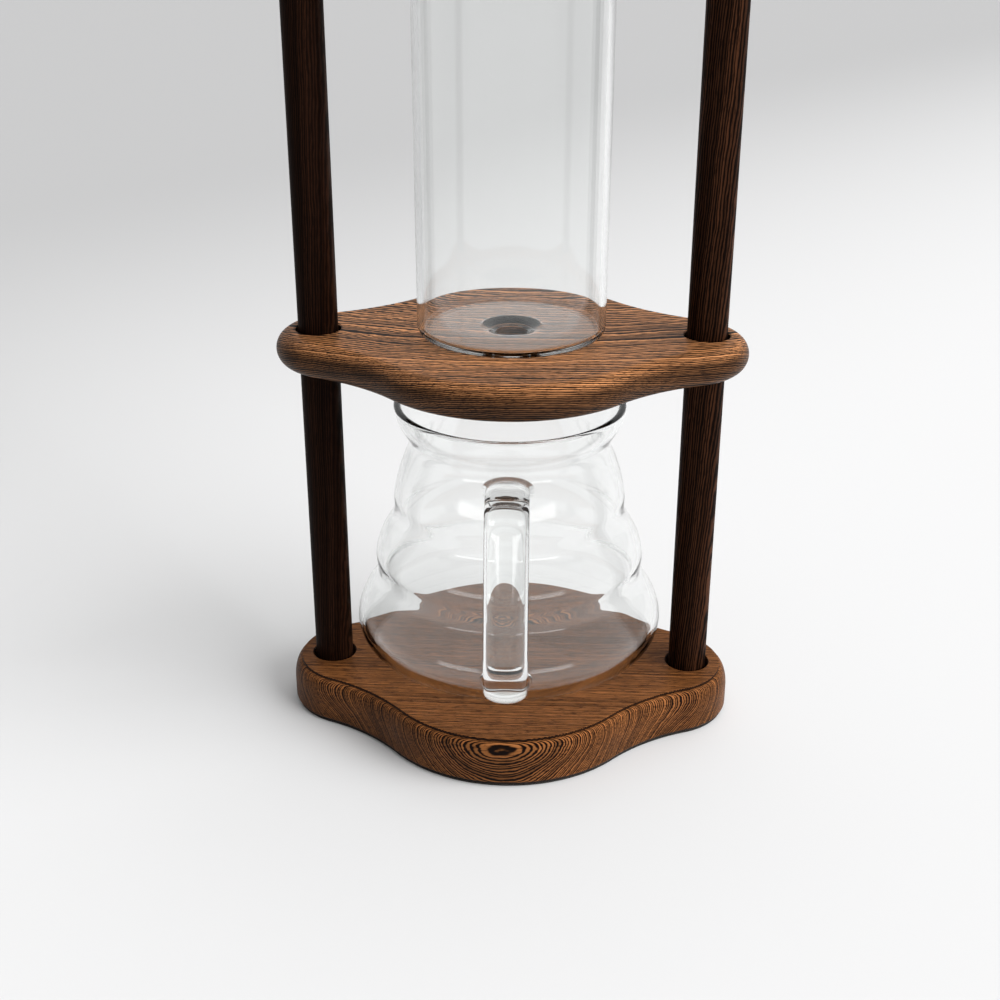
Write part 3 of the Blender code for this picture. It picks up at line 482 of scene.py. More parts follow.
shelf_sizes = (("middle", MIDDLE_BOTTOM, MIDDLE_TOP, DRIP_HOLE), ("top", TOP_BOTTOM, TOP_TOP, SEAT_HOLE))
for level, bottom, top, wide in shelf_sizes:
    edge = np.vstack([
        [[SHELF_ROUND + FIELD_MARGIN, bottom]],
        arc((SHELF_ROUND, bottom + SHELF_ROUND), SHELF_ROUND, 270, 90, 40),
        [[SHELF_ROUND + FIELD_MARGIN, top]]])
    holes = [through_hole(f"{level}_wide_hole", wide, bottom, top)]
    for side, x in SIDES.items():
        holes.append(through_hole(f"{level}_post_hole_{side}", POST_HOLE, bottom, top, x))
        screw_way = [(0, 0), (SCREW_HOLE, 0), (SCREW_HOLE, HEAD_END), (HEAD_HOLE, HEAD_END),
                     (HEAD_HOLE, BACK_EDGE + 5 * BEYOND), (0, BACK_EDGE + 5 * BEYOND)]
        holes.append(moved(turned(f"{level}_screw_way_{side}", screw_way, 48),
                           Matrix.Translation((x, 0, (bottom + top) / 2)) @ TO_BACK))
    board = carved(plate(f"{level}_board", edge), cuts=holes)
    fit(board, shelf_woods[level], "stand", "plate_wood", f"{level}_shelf")


# Screws: plain steel wood screws with a round head and a hexagon socket, two up through the base into the
# posts and four from the shelves' back edges.
SCREW_HEAD = 0.0040
SCREW_HEAD_HEIGHT = 0.0026
SCREW_SHANK = 0.0020
SCREW_POINT = 0.0030
SOCKET_FLAT = 0.0014
SOCKET_DEPTH = 0.0014
HEAD_EASE = 0.0005
THREAD_PITCH = 0.0012
THREAD_DEPTH = 0.0004
STEEL = (0.56, 0.56, 0.57)
STEEL_STAIN = (0.42, 0.42, 0.43)
POINT_UP = Matrix.Rotation(math.pi, 4, "X")


def eased(points, ease, closed=False, count=5):
    """Round a profile's corners. Near a corner P, with A and B at the ease's distance on its two sides, the
    line is (1-t)^2 A + 2t(1-t) P + t^2 B. A and B lie at most 0.45 of a side away."""
    points = np.asarray(points, float)
    reach = np.broadcast_to(np.reshape(ease, (-1, 1)), (len(points), 1))

    def foot(neighbours):
        to = neighbours - points
        length = np.maximum(np.linalg.norm(to, axis=1, keepdims=True), 1e-9)
        return points + to * np.minimum(reach / length, 0.45)

    t = np.linspace(0, 1, count)[None, :, None]
    before = foot(np.roll(points, 1, axis=0))[:, None]
    after = foot(np.roll(points, -1, axis=0))[:, None]
    curve = (1 - t) ** 2 * before + 2 * t * (1 - t) * points[:, None] + t ** 2 * after
    if closed:
        return curve.reshape(-1, 2)
    return np.vstack([points[:1], curve[1:-1].reshape(-1, 2), points[-1:]])


def metal(name, colour, stain, roughness, lines):
    """Machined metal: fine lines round the piece in roughness and height, and slow stains in its colour."""
    made, tree, shader = material(name)
    place = add_node(tree, "ShaderNodeTexCoord").outputs["Object"]
    turning = drawn_noise(tree, place, lines, 2.0, 0.6)
    slow = drawn_noise(tree, place, (160, 160, 160), 3.0)
    stained = blend(tree, (*colour, 1), (*stain, 1), ranged(tree, slow, 0.35, 0.8))
    rubbed = ranged(tree, turning, 0.3, 0.7, roughness, roughness + 0.12)
    coat(tree, shader, stained, rubbed, turning, 0.15, 0.00005)
    shader.inputs["Metallic"].default_value = 1.0
    return made


def screw(name, shank):
    """A wood screw with its head's face at height 0 and its point downwards. On the shank the radius falls
    and rises with the height less the turn, r = shank - depth (1/2 - 1/2 cos(2 pi height / pitch - a))."""
    neck = -SCREW_HEAD_HEIGHT
    point = neck - shank
    socket = np.array([(0, -SOCKET_DEPTH), (SCREW_HEAD, -SOCKET_DEPTH), (SCREW_HEAD, 0)])
    rim = eased([(SOCKET_FLAT, 0), (SCREW_HEAD, 0), (SCREW_HEAD, neck), (SCREW_SHANK, neck)], HEAD_EASE)[1:-1]
    rows = np.linspace(neck, point, max(int(shank / THREAD_PITCH * 10), 20))
    taper = np.clip((rows - point) / SCREW_POINT, 0, 1) * SCREW_SHANK
    profile = np.vstack([socket, rim, np.stack([taper, rows], axis=1)])
    angle, from_side = round_steps(48)
    radius = np.repeat(profile[:, :1], len(angle), axis=1)
    radius[1:3] = SOCKET_FLAT / np.cos(from_side)
    threaded = (profile[:, 1] < neck - THREAD_PITCH) & (profile[:, 0] > 0)
    groove = 0.5 - 0.5 * np.cos(2 * np.pi * profile[threaded, 1:] / THREAD_PITCH - angle)
    radius[threaded] -= THREAD_DEPTH * groove * radius[threaded] / SCREW_SHANK
    return round_skin(name, radius, profile[:, 1:], angle)


screw_steel = metal("screw_steel", STEEL, STEEL_STAIN, 0.28, (900, 900, 900))
base_shank = POST_BOTTOM + SCREW_RISE - BASE_SCREW_SEAT - SCREW_HEAD_HEIGHT
shelf_shank = HEAD_FACE - SCREW_HEAD_HEIGHT - SCREW_TIP
for side, x in SIDES.items():
    below = Matrix.Translation((x, 0, BASE_SCREW_SEAT)) @ POINT_UP
    fit(moved(screw(f"base_wood_screw_{side}", base_shank), below), screw_steel, "stand", "steel",
        f"base_screw_{side}")
    for level, z in zip(("middle", "top"), SHELF_MIDDLES):
        behind = Matrix.Translation((x, HEAD_FACE, z)) @ TO_BACK
        fit(moved(screw(f"{level}_wood_screw_{side}", shelf_shank), behind), screw_steel, "stand", "steel",
            f"{level}_screw_{side}")


# Coffee chamber: a straight tube of clear glass with a thick flat floor. A funnel pressed into the floor
# leads into the spout, which hangs in the shelf's drip hole.
CHAMBER_BOTTOM = 0.1484
CHAMBER_RADIUS = 0.0327
CHAMBER_HEIGHT = 0.1300
CHAMBER_WALL = 0.0022
CHAMBER_FLOOR = 0.0020
CHAMBER_CORNER = 0.0030
INNER_CORNER = 0.0016
FUNNEL_RADIUS = 0.0125
BORE_RADIUS = 0.0055
SPOUT_RADIUS = 0.0070
SPOUT_END = -0.0145
SPOUT_EASE = 0.0008
BRACE = 0.0004
GLASS_COLOUR = (0.992, 0.998, 0.995, 1)
GLASS_TINT = (0.62, 0.80, 0.70, 1)
GLASS_DEPTH = 1.5
GLASS_IOR = 1.47
LIT_THROUGH = (0.988, 0.99, 0.989, 1)
SHADED_THROUGH = (0.955, 0.958, 0.956, 1)


def glass_finish():
    """Clear glass: slow waves of the drawn surface in its height, faint smears in its roughness, and a tint
    that shows where it is thick. It lets most light through to what lies behind."""
    made, tree, shader = material("clear_glass")
    place = add_node(tree, "ShaderNodeTexCoord").outputs["Object"]
    waves = drawn_noise(tree, place, (60, 60, 28), 1.0)
    smears = drawn_noise(tree, place, (90, 90, 160), 3.0)
    tree.links.new(ranged(tree, smears, 0.55, 0.85, 0.0, 0.035), shader.inputs["Roughness"])
    bump = add_node(tree, "ShaderNodeBump", {"Height": waves, "Strength": 0.05, "Distance": 0.0006})
    tree.links.new(bump.outputs[0], shader.inputs["Normal"])
    shader.inputs["Base Color"].default_value = GLASS_COLOUR
    shader.inputs["Transmission Weight"].default_value = 1.0
    shader.inputs["IOR"].default_value = GLASS_IOR
    rays = add_node(tree, "ShaderNodeLightPath")
    shade = blend(tree, LIT_THROUGH, SHADED_THROUGH, rays.outputs["Is Shadow Ray"])
    clear = add_node(tree, "ShaderNodeBsdfTransparent", {"Color": shade})
    passing = sum_of(tree, "MAXIMUM", rays.outputs["Is Shadow Ray"], rays.outputs["Is Diffuse Ray"])
    mix = add_node(tree, "ShaderNodeMixShader", {0: passing, 1: shader.outputs[0], 2: clear.outputs[0]})
    depth = add_node(tree, "ShaderNodeVolumeAbsorption", {"Color": GLASS_TINT, "Density": GLASS_DEPTH})
    surface = tree.nodes["Material Output"].inputs
    tree.links.new(mix.outputs[0], surface["Surface"])
    tree.links.new(depth.outputs[0], surface["Volume"])
    return made


def braced(points, reach):
    """A closed profile with two more points on each long side, at a reach from its ends, which keep the
    shading of the straight part straight."""
    side = np.roll(points, -1, axis=0) - points
    length = np.linalg.norm(side, axis=1, keepdims=True)
    step = side * reach / np.maximum(length, reach)
    long = length[:, 0] > 4 * reach
    rows = np.stack([points, points + step, points + side - step], axis=1)
    return rows[np.stack([np.ones_like(long), long, long], axis=1)]


clear_glass = glass_finish()
funnel_share = np.linspace(0, 1, 16)
chamber_inner = CHAMBER_RADIUS - CHAMBER_WALL
rim_middle = (CHAMBER_RADIUS - CHAMBER_WALL / 2, CHAMBER_HEIGHT - CHAMBER_WALL / 2)
chamber_profile = np.vstack([
    arc((BORE_RADIUS + SPOUT_EASE, SPOUT_END + SPOUT_EASE), SPOUT_EASE, 270, 180, 6),
    np.stack([BORE_RADIUS + (FUNNEL_RADIUS - BORE_RADIUS) * funnel_share,
              CHAMBER_FLOOR * (1 - (1 - funnel_share) ** 2)], axis=1),
    arc((chamber_inner - INNER_CORNER, CHAMBER_FLOOR + INNER_CORNER), INNER_CORNER, 270, 360, 8),
    arc(rim_middle, CHAMBER_WALL / 2, 180, 0),
    arc((CHAMBER_RADIUS - CHAMBER_CORNER, CHAMBER_CORNER), CHAMBER_CORNER, 360, 270),
    arc((SPOUT_RADIUS + SPOUT_EASE, -SPOUT_EASE), SPOUT_EASE, 90, 180, 6),
    arc((SPOUT_RADIUS - SPOUT_EASE, SPOUT_END + SPOUT_EASE), SPOUT_EASE, 360, 270, 6)])
chamber = turned("chamber_glass", braced(chamber_profile, BRACE), 144, closed=True)
moved(chamber, Matrix.Translation((0, 0, CHAMBER_BOTTOM)))
fit(chamber, clear_glass, "chamber", "glass", "coffee_chamber")


# Server: one piece of clear blown glass with three bulges, a neck and a flared rim. Its solid oval handle is
# drawn out of hot glass and fused to the body at both ends, so the two are one skin here.
SERVER_PLACE = (-0.0012, 0.0175, 0.0183)
SERVER_WALL = 0.0024
HEEL_WALL = 0.0004
HEEL_REACH = 0.0070
RIM_BEAD = 0.0003
RIM_REACH = 0.0040
FLOOR_RADIUS = 0.0473
HEEL = (0.0553, 0.0032)
LOWER_BULGE = (0.0587, 0.0110)
LOWER_WAIST = (0.0499, 0.0280)
MIDDLE_BULGE = (0.0510, 0.0365)
UPPER_WAIST = (0.0432, 0.0535)
UPPER_BULGE = (0.0436, 0.0600)
NECK = (0.0364, 0.0835)
RIM = (0.0428, 0.0965)
BULGE_FALL = 1.8
NECK_FALL = 1.5
SKIN_STEP = 0.0008
SOFTEN = 0.0006
WAIST_SOFTEN = 0.0026
WAIST_SPAN = 0.0060
HANDLE_WIDTH = 0.0154
HANDLE_DEPTH = 0.0080
HANDLE_TURN = math.radians(1.65)
HANDLE_FLARE = 0.22
FLARE_REACH = 0.0030
FUSE_DEPTH = 0.0014
HANDLE_TOP_DROP = 0.0046
HANDLE_FOOT_RISE = 0.0025
HANDLE_TOP_CORNER = (0.0000, 0.0055)
HANDLE_LOW_CORNER = (0.0203, 0.0012)
HANDLE_TOP_BEND = 0.0125
HANDLE_LOW_BEND = 0.0120
BAR_STEP = 0.0010


def fall(bulge, waist, power, count=30):
    """Profile from a bulge to a waist: with u from 0 to 1 in height, the radius is
    waist + (bulge - waist)(1 - u^power)."""
    u = np.linspace(0, 1, count)[1:]
    radius = waist[0] + (bulge[0] - waist[0]) * (1 - u ** power)
    return np.stack([radius, bulge[1] + (waist[1] - bulge[1]) * u], axis=1)


def spaced(points, step):
    """Points set out anew along a line at even steps of its length."""
    length = np.append(0, np.cumsum(np.linalg.norm(np.diff(points, axis=0), axis=1)))
    at = np.linspace(0, length[-1], int(length[-1] / step) + 1)
    return np.stack([np.interp(at, length, column) for column in points.T], axis=1)


def softened(points, step, reach):
    """Each point as the mean of its neighbours, weighted by exp(-(distance / reach)^2 / 2). The ends are
    kept."""
    span = int(3 * reach / step)
    weight = np.exp(-0.5 * (np.arange(-span, span + 1) * step / reach) ** 2)
    padded = np.vstack([2 * points[0] - points[span:0:-1], points, 2 * points[-1] - points[-2:-span - 2:-1]])
    return np.stack([np.convolve(column, weight / weight.sum(), mode="valid") for column in padded.T], axis=1)


def bent(points, radii):
    """Line through points whose corners are arcs. At a corner P with unit sides u and v, h is half the angle
    between them: the arc's middle is P + radius / sin(h) along u + v, and the arc goes between
    P + u radius / tan(h) and P + v radius / tan(h)."""
    line = [points[:1]]
    for before, corner, after, radius in zip(points, points[1:], points[2:], radii):
        u = (before - corner) / np.linalg.norm(before - corner)
        v = (after - corner) / np.linalg.norm(after - corner)
        half = np.arccos(u @ v) / 2
        middle = corner + (u + v) / np.linalg.norm(u + v) * radius / np.sin(half)
        start = corner + u * radius / np.tan(half) - middle
        end = corner + v * radius / np.tan(half) - middle
        turn = np.pi - 2 * half
        angle = np.linspace(0, turn, 24)[:, None]
        line.append(middle + (start * np.sin(turn - angle) + end * np.sin(angle)) / np.sin(turn))
    return np.vstack([*line, points[-1:]])


server_line = np.vstack([
    [[0, 0]],
    arc((FLOOR_RADIUS, LOWER_BULGE[1]), LOWER_BULGE[0] - FLOOR_RADIUS, 270, 360, 30, LOWER_BULGE[1]),
    fall(LOWER_BULGE, LOWER_WAIST, BULGE_FALL), [MIDDLE_BULGE],
    fall(MIDDLE_BULGE, UPPER_WAIST, BULGE_FALL), [UPPER_BULGE],
    fall(UPPER_BULGE, NECK, NECK_FALL),
    fall(RIM, NECK, BULGE_FALL)[-2::-1], [RIM]])
even_line = spaced(server_line, SKIN_STEP)
waist_levels = np.array([LOWER_WAIST[1], UPPER_WAIST[1], NECK[1]])
near_waist = np.exp(-((even_line[:, 1:] - waist_levels) / WAIST_SPAN) ** 2).max(axis=1, keepdims=True)
outer = (near_waist * softened(even_line, SKIN_STEP, WAIST_SOFTEN)
         + (1 - near_waist) * softened(even_line, SKIN_STEP, SOFTEN))
outer[0] = (0, 0)
run = np.gradient(outer, axis=0)
run /= np.linalg.norm(run, axis=1, keepdims=True)
to_rim = np.linalg.norm(outer - outer[-1], axis=1)
wall = (SERVER_WALL + RIM_BEAD * np.exp(-(to_rim / RIM_REACH) ** 2)
        + HEEL_WALL * np.exp(-(np.linalg.norm(outer - HEEL, axis=1) / HEEL_REACH) ** 2))
inner = outer + wall[:, None] * np.stack([-run[:, 1], run[:, 0]], axis=1)
inner[0] = (0, SERVER_WALL)
lip_middle = (outer[-1] + inner[-1]) / 2
lip_start = np.degrees(np.arctan2(*(outer[-1] - lip_middle)[::-1]))
lip = arc(lip_middle, wall[-1] / 2, lip_start, lip_start + 180)
server = turned("server_glass", np.vstack([outer, lip[1:-1], inner[::-1]]), 120)


def side_at(level):
    """Point of the server's outer line at a height, and the line's outward normal there."""
    at = np.argmin(np.abs(outer[:, 1] - level))
    return outer[at], np.array([run[at, 1], -run[at, 0]])


joint, joint_out = side_at(NECK[1] - HANDLE_TOP_DROP)
foot, foot_out = side_at(LOWER_BULGE[1] + HANDLE_FOOT_RISE)
corners = np.array([joint - FUSE_DEPTH * joint_out, (LOWER_BULGE[0], joint[1]), (LOWER_BULGE[0], foot[1]),
                    foot - FUSE_DEPTH * foot_out])
corners[1:3] += (HANDLE_TOP_CORNER, HANDLE_LOW_CORNER)
path = spaced(bent(corners, (HANDLE_TOP_BEND, HANDLE_LOW_BEND)), BAR_STEP)
along = np.gradient(path, axis=0)
along /= np.linalg.norm(along, axis=1, keepdims=True)
gone = np.append(0, np.cumsum(np.linalg.norm(np.diff(path, axis=0), axis=1)))
from_end = np.minimum(gone, gone[-1] - gone) - FUSE_DEPTH
flare = 1 + HANDLE_FLARE * np.exp(-(np.maximum(from_end, 0) / FLARE_REACH) ** 2)
round_bar = np.linspace(0, 2 * np.pi, 56, endpoint=False)
aside = HANDLE_WIDTH / 2 * flare[:, None] * np.cos(round_bar)
outward = HANDLE_DEPTH / 2 * flare[:, None] * np.sin(round_bar)
reach = path[:, :1] - along[:, 1:] * outward
lift = path[:, 1:] + along[:, :1] * outward
handle = moved(skin("server_bar", np.stack([aside, -reach, lift], axis=-1), capped=True),
               Matrix.Rotation(HANDLE_TURN, 4, "Z"))
carved(server, adds=[handle])
moved(server, Matrix.Translation(SERVER_PLACE))
fit(server, clear_glass, "server", "glass", "server_body", "server_handle")


# Water vessel: clear blown glass, a cylinder over a cone that ends in a short neck. The cone sits in the top
# shelf's hole by its own weight, so the vessel lifts out with its valve.
VESSEL_BOTTOM = 0.3343
VESSEL_RADIUS = 0.0440
VESSEL_WALL = 0.0024
NECK_RADIUS = 0.0100
NECK_LENGTH = 0.0100
NECK_ROUND = 0.0006
CONE_HEIGHT = 0.0440
CONE_TOP = NECK_LENGTH + CONE_HEIGHT
CYLINDER_HEIGHT = 0.0700
VESSEL_HEIGHT = CONE_TOP + CYLINDER_HEIGHT
VESSEL_EASE = 0.0050
vessel_inner = VESSEL_RADIUS - VESSEL_WALL
neck_inner = NECK_RADIUS - VESSEL_WALL
vessel_profile = np.vstack([
    eased([(neck_inner, 0), (neck_inner, NECK_LENGTH), (vessel_inner, CONE_TOP),
           (vessel_inner, VESSEL_HEIGHT - VESSEL_WALL / 2)], VESSEL_EASE, count=12),
    arc((vessel_inner + VESSEL_WALL / 2, VESSEL_HEIGHT - VESSEL_WALL / 2), VESSEL_WALL / 2, 180, 0)[1:-1],
    eased([(VESSEL_RADIUS, VESSEL_HEIGHT - VESSEL_WALL / 2), (VESSEL_RADIUS, CONE_TOP),
           (NECK_RADIUS, NECK_LENGTH), (NECK_RADIUS, 0)], VESSEL_EASE, count=12),
    arc((neck_inner + VESSEL_WALL / 2, NECK_ROUND), VESSEL_WALL / 2, 360, 180, 8, NECK_ROUND)[1:-1]])
vessel = turned("vessel_glass", braced(vessel_profile, BRACE), 144, closed=True)
moved(vessel, Matrix.Translation((0, 0, VESSEL_BOTTOM)))
fit(vessel, clear_glass, "reservoir", "glass", "water_reservoir")


# Stopper and packing: moulded pale silicone. The stopper plugs the vessel's neck round the valve's inlet
# tube, and the packing is a ring that seals the needle.
STOPPER_BOTTOM = 0.3310
STOPPER_FLANGE = 0.0030
STOPPER_TOP = 0.0113
INLET_HOLE = 0.0033
STOPPER_ROOM = 0.0003
MOULD_EASE = 0.0006
NEEDLE_HOLE = 0.0023
PACKING_RADIUS = 0.0038
PACKING_BACK = 0.0135
PACKING_EASE = 0.0003
BOSS_FACE = 0.0155
VALVE_AXIS = 0.3227
SILICONE_PALE = (0.74, 0.74, 0.72, 1)
SILICONE_CLOUD = (0.66, 0.66, 0.63, 1)
TO_FRONT = Matrix.Translation((0, 0, VALVE_AXIS)) @ Matrix.Rotation(math.pi / 2, 4, "X")


def silicone_finish():
    """Moulded silicone: a soft milky colour with slow clouds and a fine matt bloom."""
    made, tree, shader = material("pale_silicone")
    place = add_node(tree, "ShaderNodeTexCoord").outputs["Object"]
    clouds = drawn_noise(tree, place, (220, 220, 220), 3.0)
    bloom = drawn_noise(tree, place, (2600, 2600, 2600), 2.0)
    clouded = blend(tree, SILICONE_PALE, SILICONE_CLOUD, clouds)
    coat(tree, shader, clouded, ranged(tree, bloom, 0.3, 0.7, 0.45, 0.62), bloom, 0.1, 0.00005)
    shader.inputs["Subsurface Weight"].default_value = 0.25
    shader.inputs["Subsurface Radius"].default_value = (0.004, 0.004, 0.0035)
    shader.inputs["Subsurface Scale"].default_value = 1.0
    return made


pale_silicone = silicone_finish()
stopper_profile = eased([
    (INLET_HOLE, 0), (INLET_HOLE, STOPPER_TOP), (neck_inner - STOPPER_ROOM, STOPPER_TOP),
    (neck_inner - STOPPER_ROOM, STOPPER_FLANGE), (NECK_RADIUS, STOPPER_FLANGE), (NECK_RADIUS, 0)],
    MOULD_EASE, closed=True)
stopper = turned("stopper_plug", stopper_profile, closed=True)
moved(stopper, Matrix.Translation((0, 0, STOPPER_BOTTOM)))
fit(stopper, pale_silicone, "reservoir", "silicone", "reservoir_stopper")
packing_profile = eased([(NEEDLE_HOLE, PACKING_BACK), (NEEDLE_HOLE, BOSS_FACE), (PACKING_RADIUS, BOSS_FACE),
                         (PACKING_RADIUS, PACKING_BACK)], PACKING_EASE, closed=True)
packing = moved(turned("packing_ring", packing_profile, closed=True), TO_FRONT)
fit(packing, pale_silicone, "reservoir", "silicone", "valve_packing")


# Drip valve: body, nozzle and gland nut turned from brass. The body has an inlet tube that goes up through
# the stopper and a boss to the front, on which the hexagon nut presses the packing.
VALVE_BOTTOM = 0.3147
VALVE_RADIUS = 0.0080
VALVE_HEIGHT = 0.0160
INLET_RADIUS = 0.0030
INLET_TOP = 0.0296
WATERWAY = 0.0014
SPIGOT_HOLE = 0.0029
SPIGOT_DEPTH = 0.0043
BOSS_RADIUS = 0.0055
BOSS_START = 0.0040
BOSS_EASE = 0.0003
NEEDLE_WAY_END = -0.0023
PACKING_ROOM = 0.0003
POCKET_FACE = 0.0132
TURNED_EASE = 0.0005
NOZZLE_TIP = 0.3024
NOZZLE_LENGTH = 0.0120
NOZZLE_RADIUS = 0.0042
NOZZLE_END_RADIUS = 0.0019
NOZZLE_EASE = 0.0004
SPIGOT_RADIUS = 0.0026
SPIGOT_LENGTH = 0.0040
GLAND_BACK = 0.0113
GLAND_INNER = 0.0158
GLAND_FACE = 0.0188
GLAND_HOLE = 0.0058
GLAND_FLAT = 0.0069
GLAND_CORNER = 0.007967
GLAND_CHAMFER = 0.0006
CHAMFER_STEP = 0.0001
BRASS = (0.74, 0.55, 0.27)
BRASS_STAIN = (0.60, 0.42, 0.18)

brass = metal("valve_brass", BRASS, BRASS_STAIN, 0.20, (300, 300, 2600))
valve_profile = eased([
    (SPIGOT_HOLE, 0), (SPIGOT_HOLE, SPIGOT_DEPTH), (WATERWAY, SPIGOT_DEPTH), (WATERWAY, INLET_TOP),
    (INLET_RADIUS, INLET_TOP), (INLET_RADIUS, VALVE_HEIGHT), (VALVE_RADIUS, VALVE_HEIGHT), (VALVE_RADIUS, 0)],
    TURNED_EASE, closed=True)
valve = moved(turned("valve_block", valve_profile, 72, closed=True), Matrix.Translation((0, 0, VALVE_BOTTOM)))
boss_profile = [(0, BOSS_START), (BOSS_RADIUS, BOSS_START), (BOSS_RADIUS, BOSS_FACE - BOSS_EASE),
                (BOSS_RADIUS - BOSS_EASE, BOSS_FACE), (0, BOSS_FACE)]
boss = moved(turned("valve_boss", boss_profile, 56), TO_FRONT)
pocket = PACKING_RADIUS + PACKING_ROOM
way_profile = [(0, NEEDLE_WAY_END), (NEEDLE_HOLE, NEEDLE_WAY_END), (NEEDLE_HOLE, POCKET_FACE),
               (pocket, POCKET_FACE), (pocket, BOSS_FACE + BEYOND), (0, BOSS_FACE + BEYOND)]
needle_way = moved(turned("needle_way", way_profile, 40), TO_FRONT)
fit(carved(valve, adds=[boss], cuts=[needle_way]), brass, "reservoir", "brass", "valve_body")
spigot_top = NOZZLE_LENGTH + SPIGOT_LENGTH
nozzle_profile = eased([
    (WATERWAY, 0), (WATERWAY, spigot_top), (SPIGOT_RADIUS, spigot_top), (SPIGOT_RADIUS, NOZZLE_LENGTH),
    (NOZZLE_RADIUS, NOZZLE_LENGTH), (NOZZLE_RADIUS, NOZZLE_LENGTH / 2), (NOZZLE_END_RADIUS, 0)],
    NOZZLE_EASE, closed=True)
nozzle = moved(turned("nozzle_tip", nozzle_profile, closed=True), Matrix.Translation((0, 0, NOZZLE_TIP)))
fit(nozzle, brass, "reservoir", "brass", "drip_nozzle")
gland_profile = np.array([
    (GLAND_HOLE, GLAND_BACK), (GLAND_HOLE, GLAND_INNER), (NEEDLE_HOLE, GLAND_INNER),
    (NEEDLE_HOLE, GLAND_FACE), (GLAND_FLAT, GLAND_FACE), (GLAND_CORNER, GLAND_FACE - GLAND_CHAMFER),
    (GLAND_CORNER, GLAND_BACK + GLAND_CHAMFER), (GLAND_FLAT, GLAND_BACK)])
gland_rows = np.vstack([gland_profile[:4], spaced(gland_profile[4:6], CHAMFER_STEP), gland_profile[5:7],
                        spaced(gland_profile[6:8], CHAMFER_STEP)])
gland_flats = np.where(gland_rows[:, 0] >= GLAND_FLAT, GLAND_FLAT, np.inf)
gland = moved(turned("gland_hexagon", gland_rows, 144, closed=True, flats=gland_flats), TO_FRONT)
fit(gland, brass, "reservoir", "brass", "gland_nut")


# Needle and knob: a ground steel needle that throttles the water, and the turned wood knob on its outer end,
# which screws it in and out.
NEEDLE_RADIUS = 0.0020
NEEDLE_TIP = 0.0006
NEEDLE_REACH = -0.0020
NEEDLE_TAPER = 0.0005
NEEDLE_END = 0.0252
NEEDLE_EASE = 0.0002
KNOB_BACK = 0.0191
KNOB_FACE = 0.0271
KNOB_RADIUS = 0.0085
KNOB_ROUND = 0.0015
KNOB_HOLE_END = 0.0255

needle_profile = eased([(0, NEEDLE_REACH), (NEEDLE_TIP, NEEDLE_REACH), (NEEDLE_RADIUS, NEEDLE_TAPER),
                        (NEEDLE_RADIUS, NEEDLE_END), (0, NEEDLE_END)], NEEDLE_EASE)
needle = moved(turned("ground_needle", needle_profile, 48), TO_FRONT)
fit(needle, screw_steel, "needle", "steel", "valve_needle")
knob_profile = np.vstack([
    [[0, KNOB_HOLE_END], [NEEDLE_HOLE, KNOB_HOLE_END], [NEEDLE_HOLE, KNOB_BACK]],
    arc((KNOB_RADIUS - KNOB_ROUND, KNOB_BACK + KNOB_ROUND), KNOB_ROUND, 270, 360),
    arc((KNOB_RADIUS - KNOB_ROUND, KNOB_FACE - KNOB_ROUND), KNOB_ROUND, 0, 90),
    [[0, KNOB_FACE]]])
knob_wood = timber("valve_knob_wood", (0, -0.023, VALVE_AXIS), (1, 0, 0.1), (0, -0.6, 0.8), 0.0009, 0.002,
                   POST_DARK, POST_LIGHT, gloss=0.40, breaks=2.2)
fit(moved(turned("turned_valve_knob", knob_profile), TO_FRONT), knob_wood, "knob", "post_wood", "valve_knob")


# Lid: a turned wood disc with a plug that sits in the vessel's mouth, and a ball knob that a steel screw
# holds from below.
LID_BOTTOM = 0.4586
LID_TOP = 0.4666
LID_RADIUS = 0.0470
LID_ROUND = 0.0025
LID_PLUG = 0.0408
LID_PLUG_BOTTOM = 0.4506
PLUG_EASE = 0.0008
LID_SCREW_SINK = 0.0030
LID_SEAT = LID_PLUG_BOTTOM + LID_SCREW_SINK
BALL_BOTTOM = 0.4669
BALL_RADIUS = 0.0110
BALL_TOP = 0.489274
STEM_RADIUS = 0.0065
STEM_EASE = 0.0004
LID_SCREW_RISE = 0.0070
LID_SCREW_TIP = BALL_BOTTOM + LID_SCREW_RISE

head_end = LID_SEAT + HEAD_POCKET
lid_profile = np.vstack([
    [[SCREW_HOLE, head_end], [SCREW_HOLE, LID_TOP]],
    arc((LID_RADIUS - LID_ROUND, LID_TOP - LID_ROUND), LID_ROUND, 90, 0),
    arc((LID_RADIUS - LID_ROUND, LID_BOTTOM + LID_ROUND), LID_ROUND, 360, 270),
    [[LID_PLUG, LID_BOTTOM], [LID_PLUG, LID_PLUG_BOTTOM + PLUG_EASE], [LID_PLUG - PLUG_EASE, LID_PLUG_BOTTOM],
     [HEAD_HOLE, LID_PLUG_BOTTOM], [HEAD_HOLE, head_end]]])
lid_wood = timber("lid_wood", (0, 0.01, LID_TOP), (0.97, 0.25, 0), (0, -0.30, 0.95), 0.0008, 0.003,
                  LAYER_DARK, LAYER_LIGHT, curve=(-1.0, -3.0, 0), gloss=0.36)
fit(turned("turned_lid", lid_profile, 128, closed=True), lid_wood, "lid", "plate_wood", "reservoir_lid")
ball_start = math.degrees(math.acos(STEM_RADIUS / BALL_RADIUS))
ball_profile = np.vstack([
    [[0, LID_SCREW_TIP + TIP_ROOM], [SCREW_HOLE, LID_SCREW_TIP + TIP_ROOM], [SCREW_HOLE, BALL_BOTTOM],
     [STEM_RADIUS - STEM_EASE, BALL_BOTTOM], [STEM_RADIUS, BALL_BOTTOM + STEM_EASE]],
    arc((0, BALL_TOP - BALL_RADIUS), BALL_RADIUS, -ball_start, 90, 40)])
ball_profile[-1] = (0, BALL_TOP)
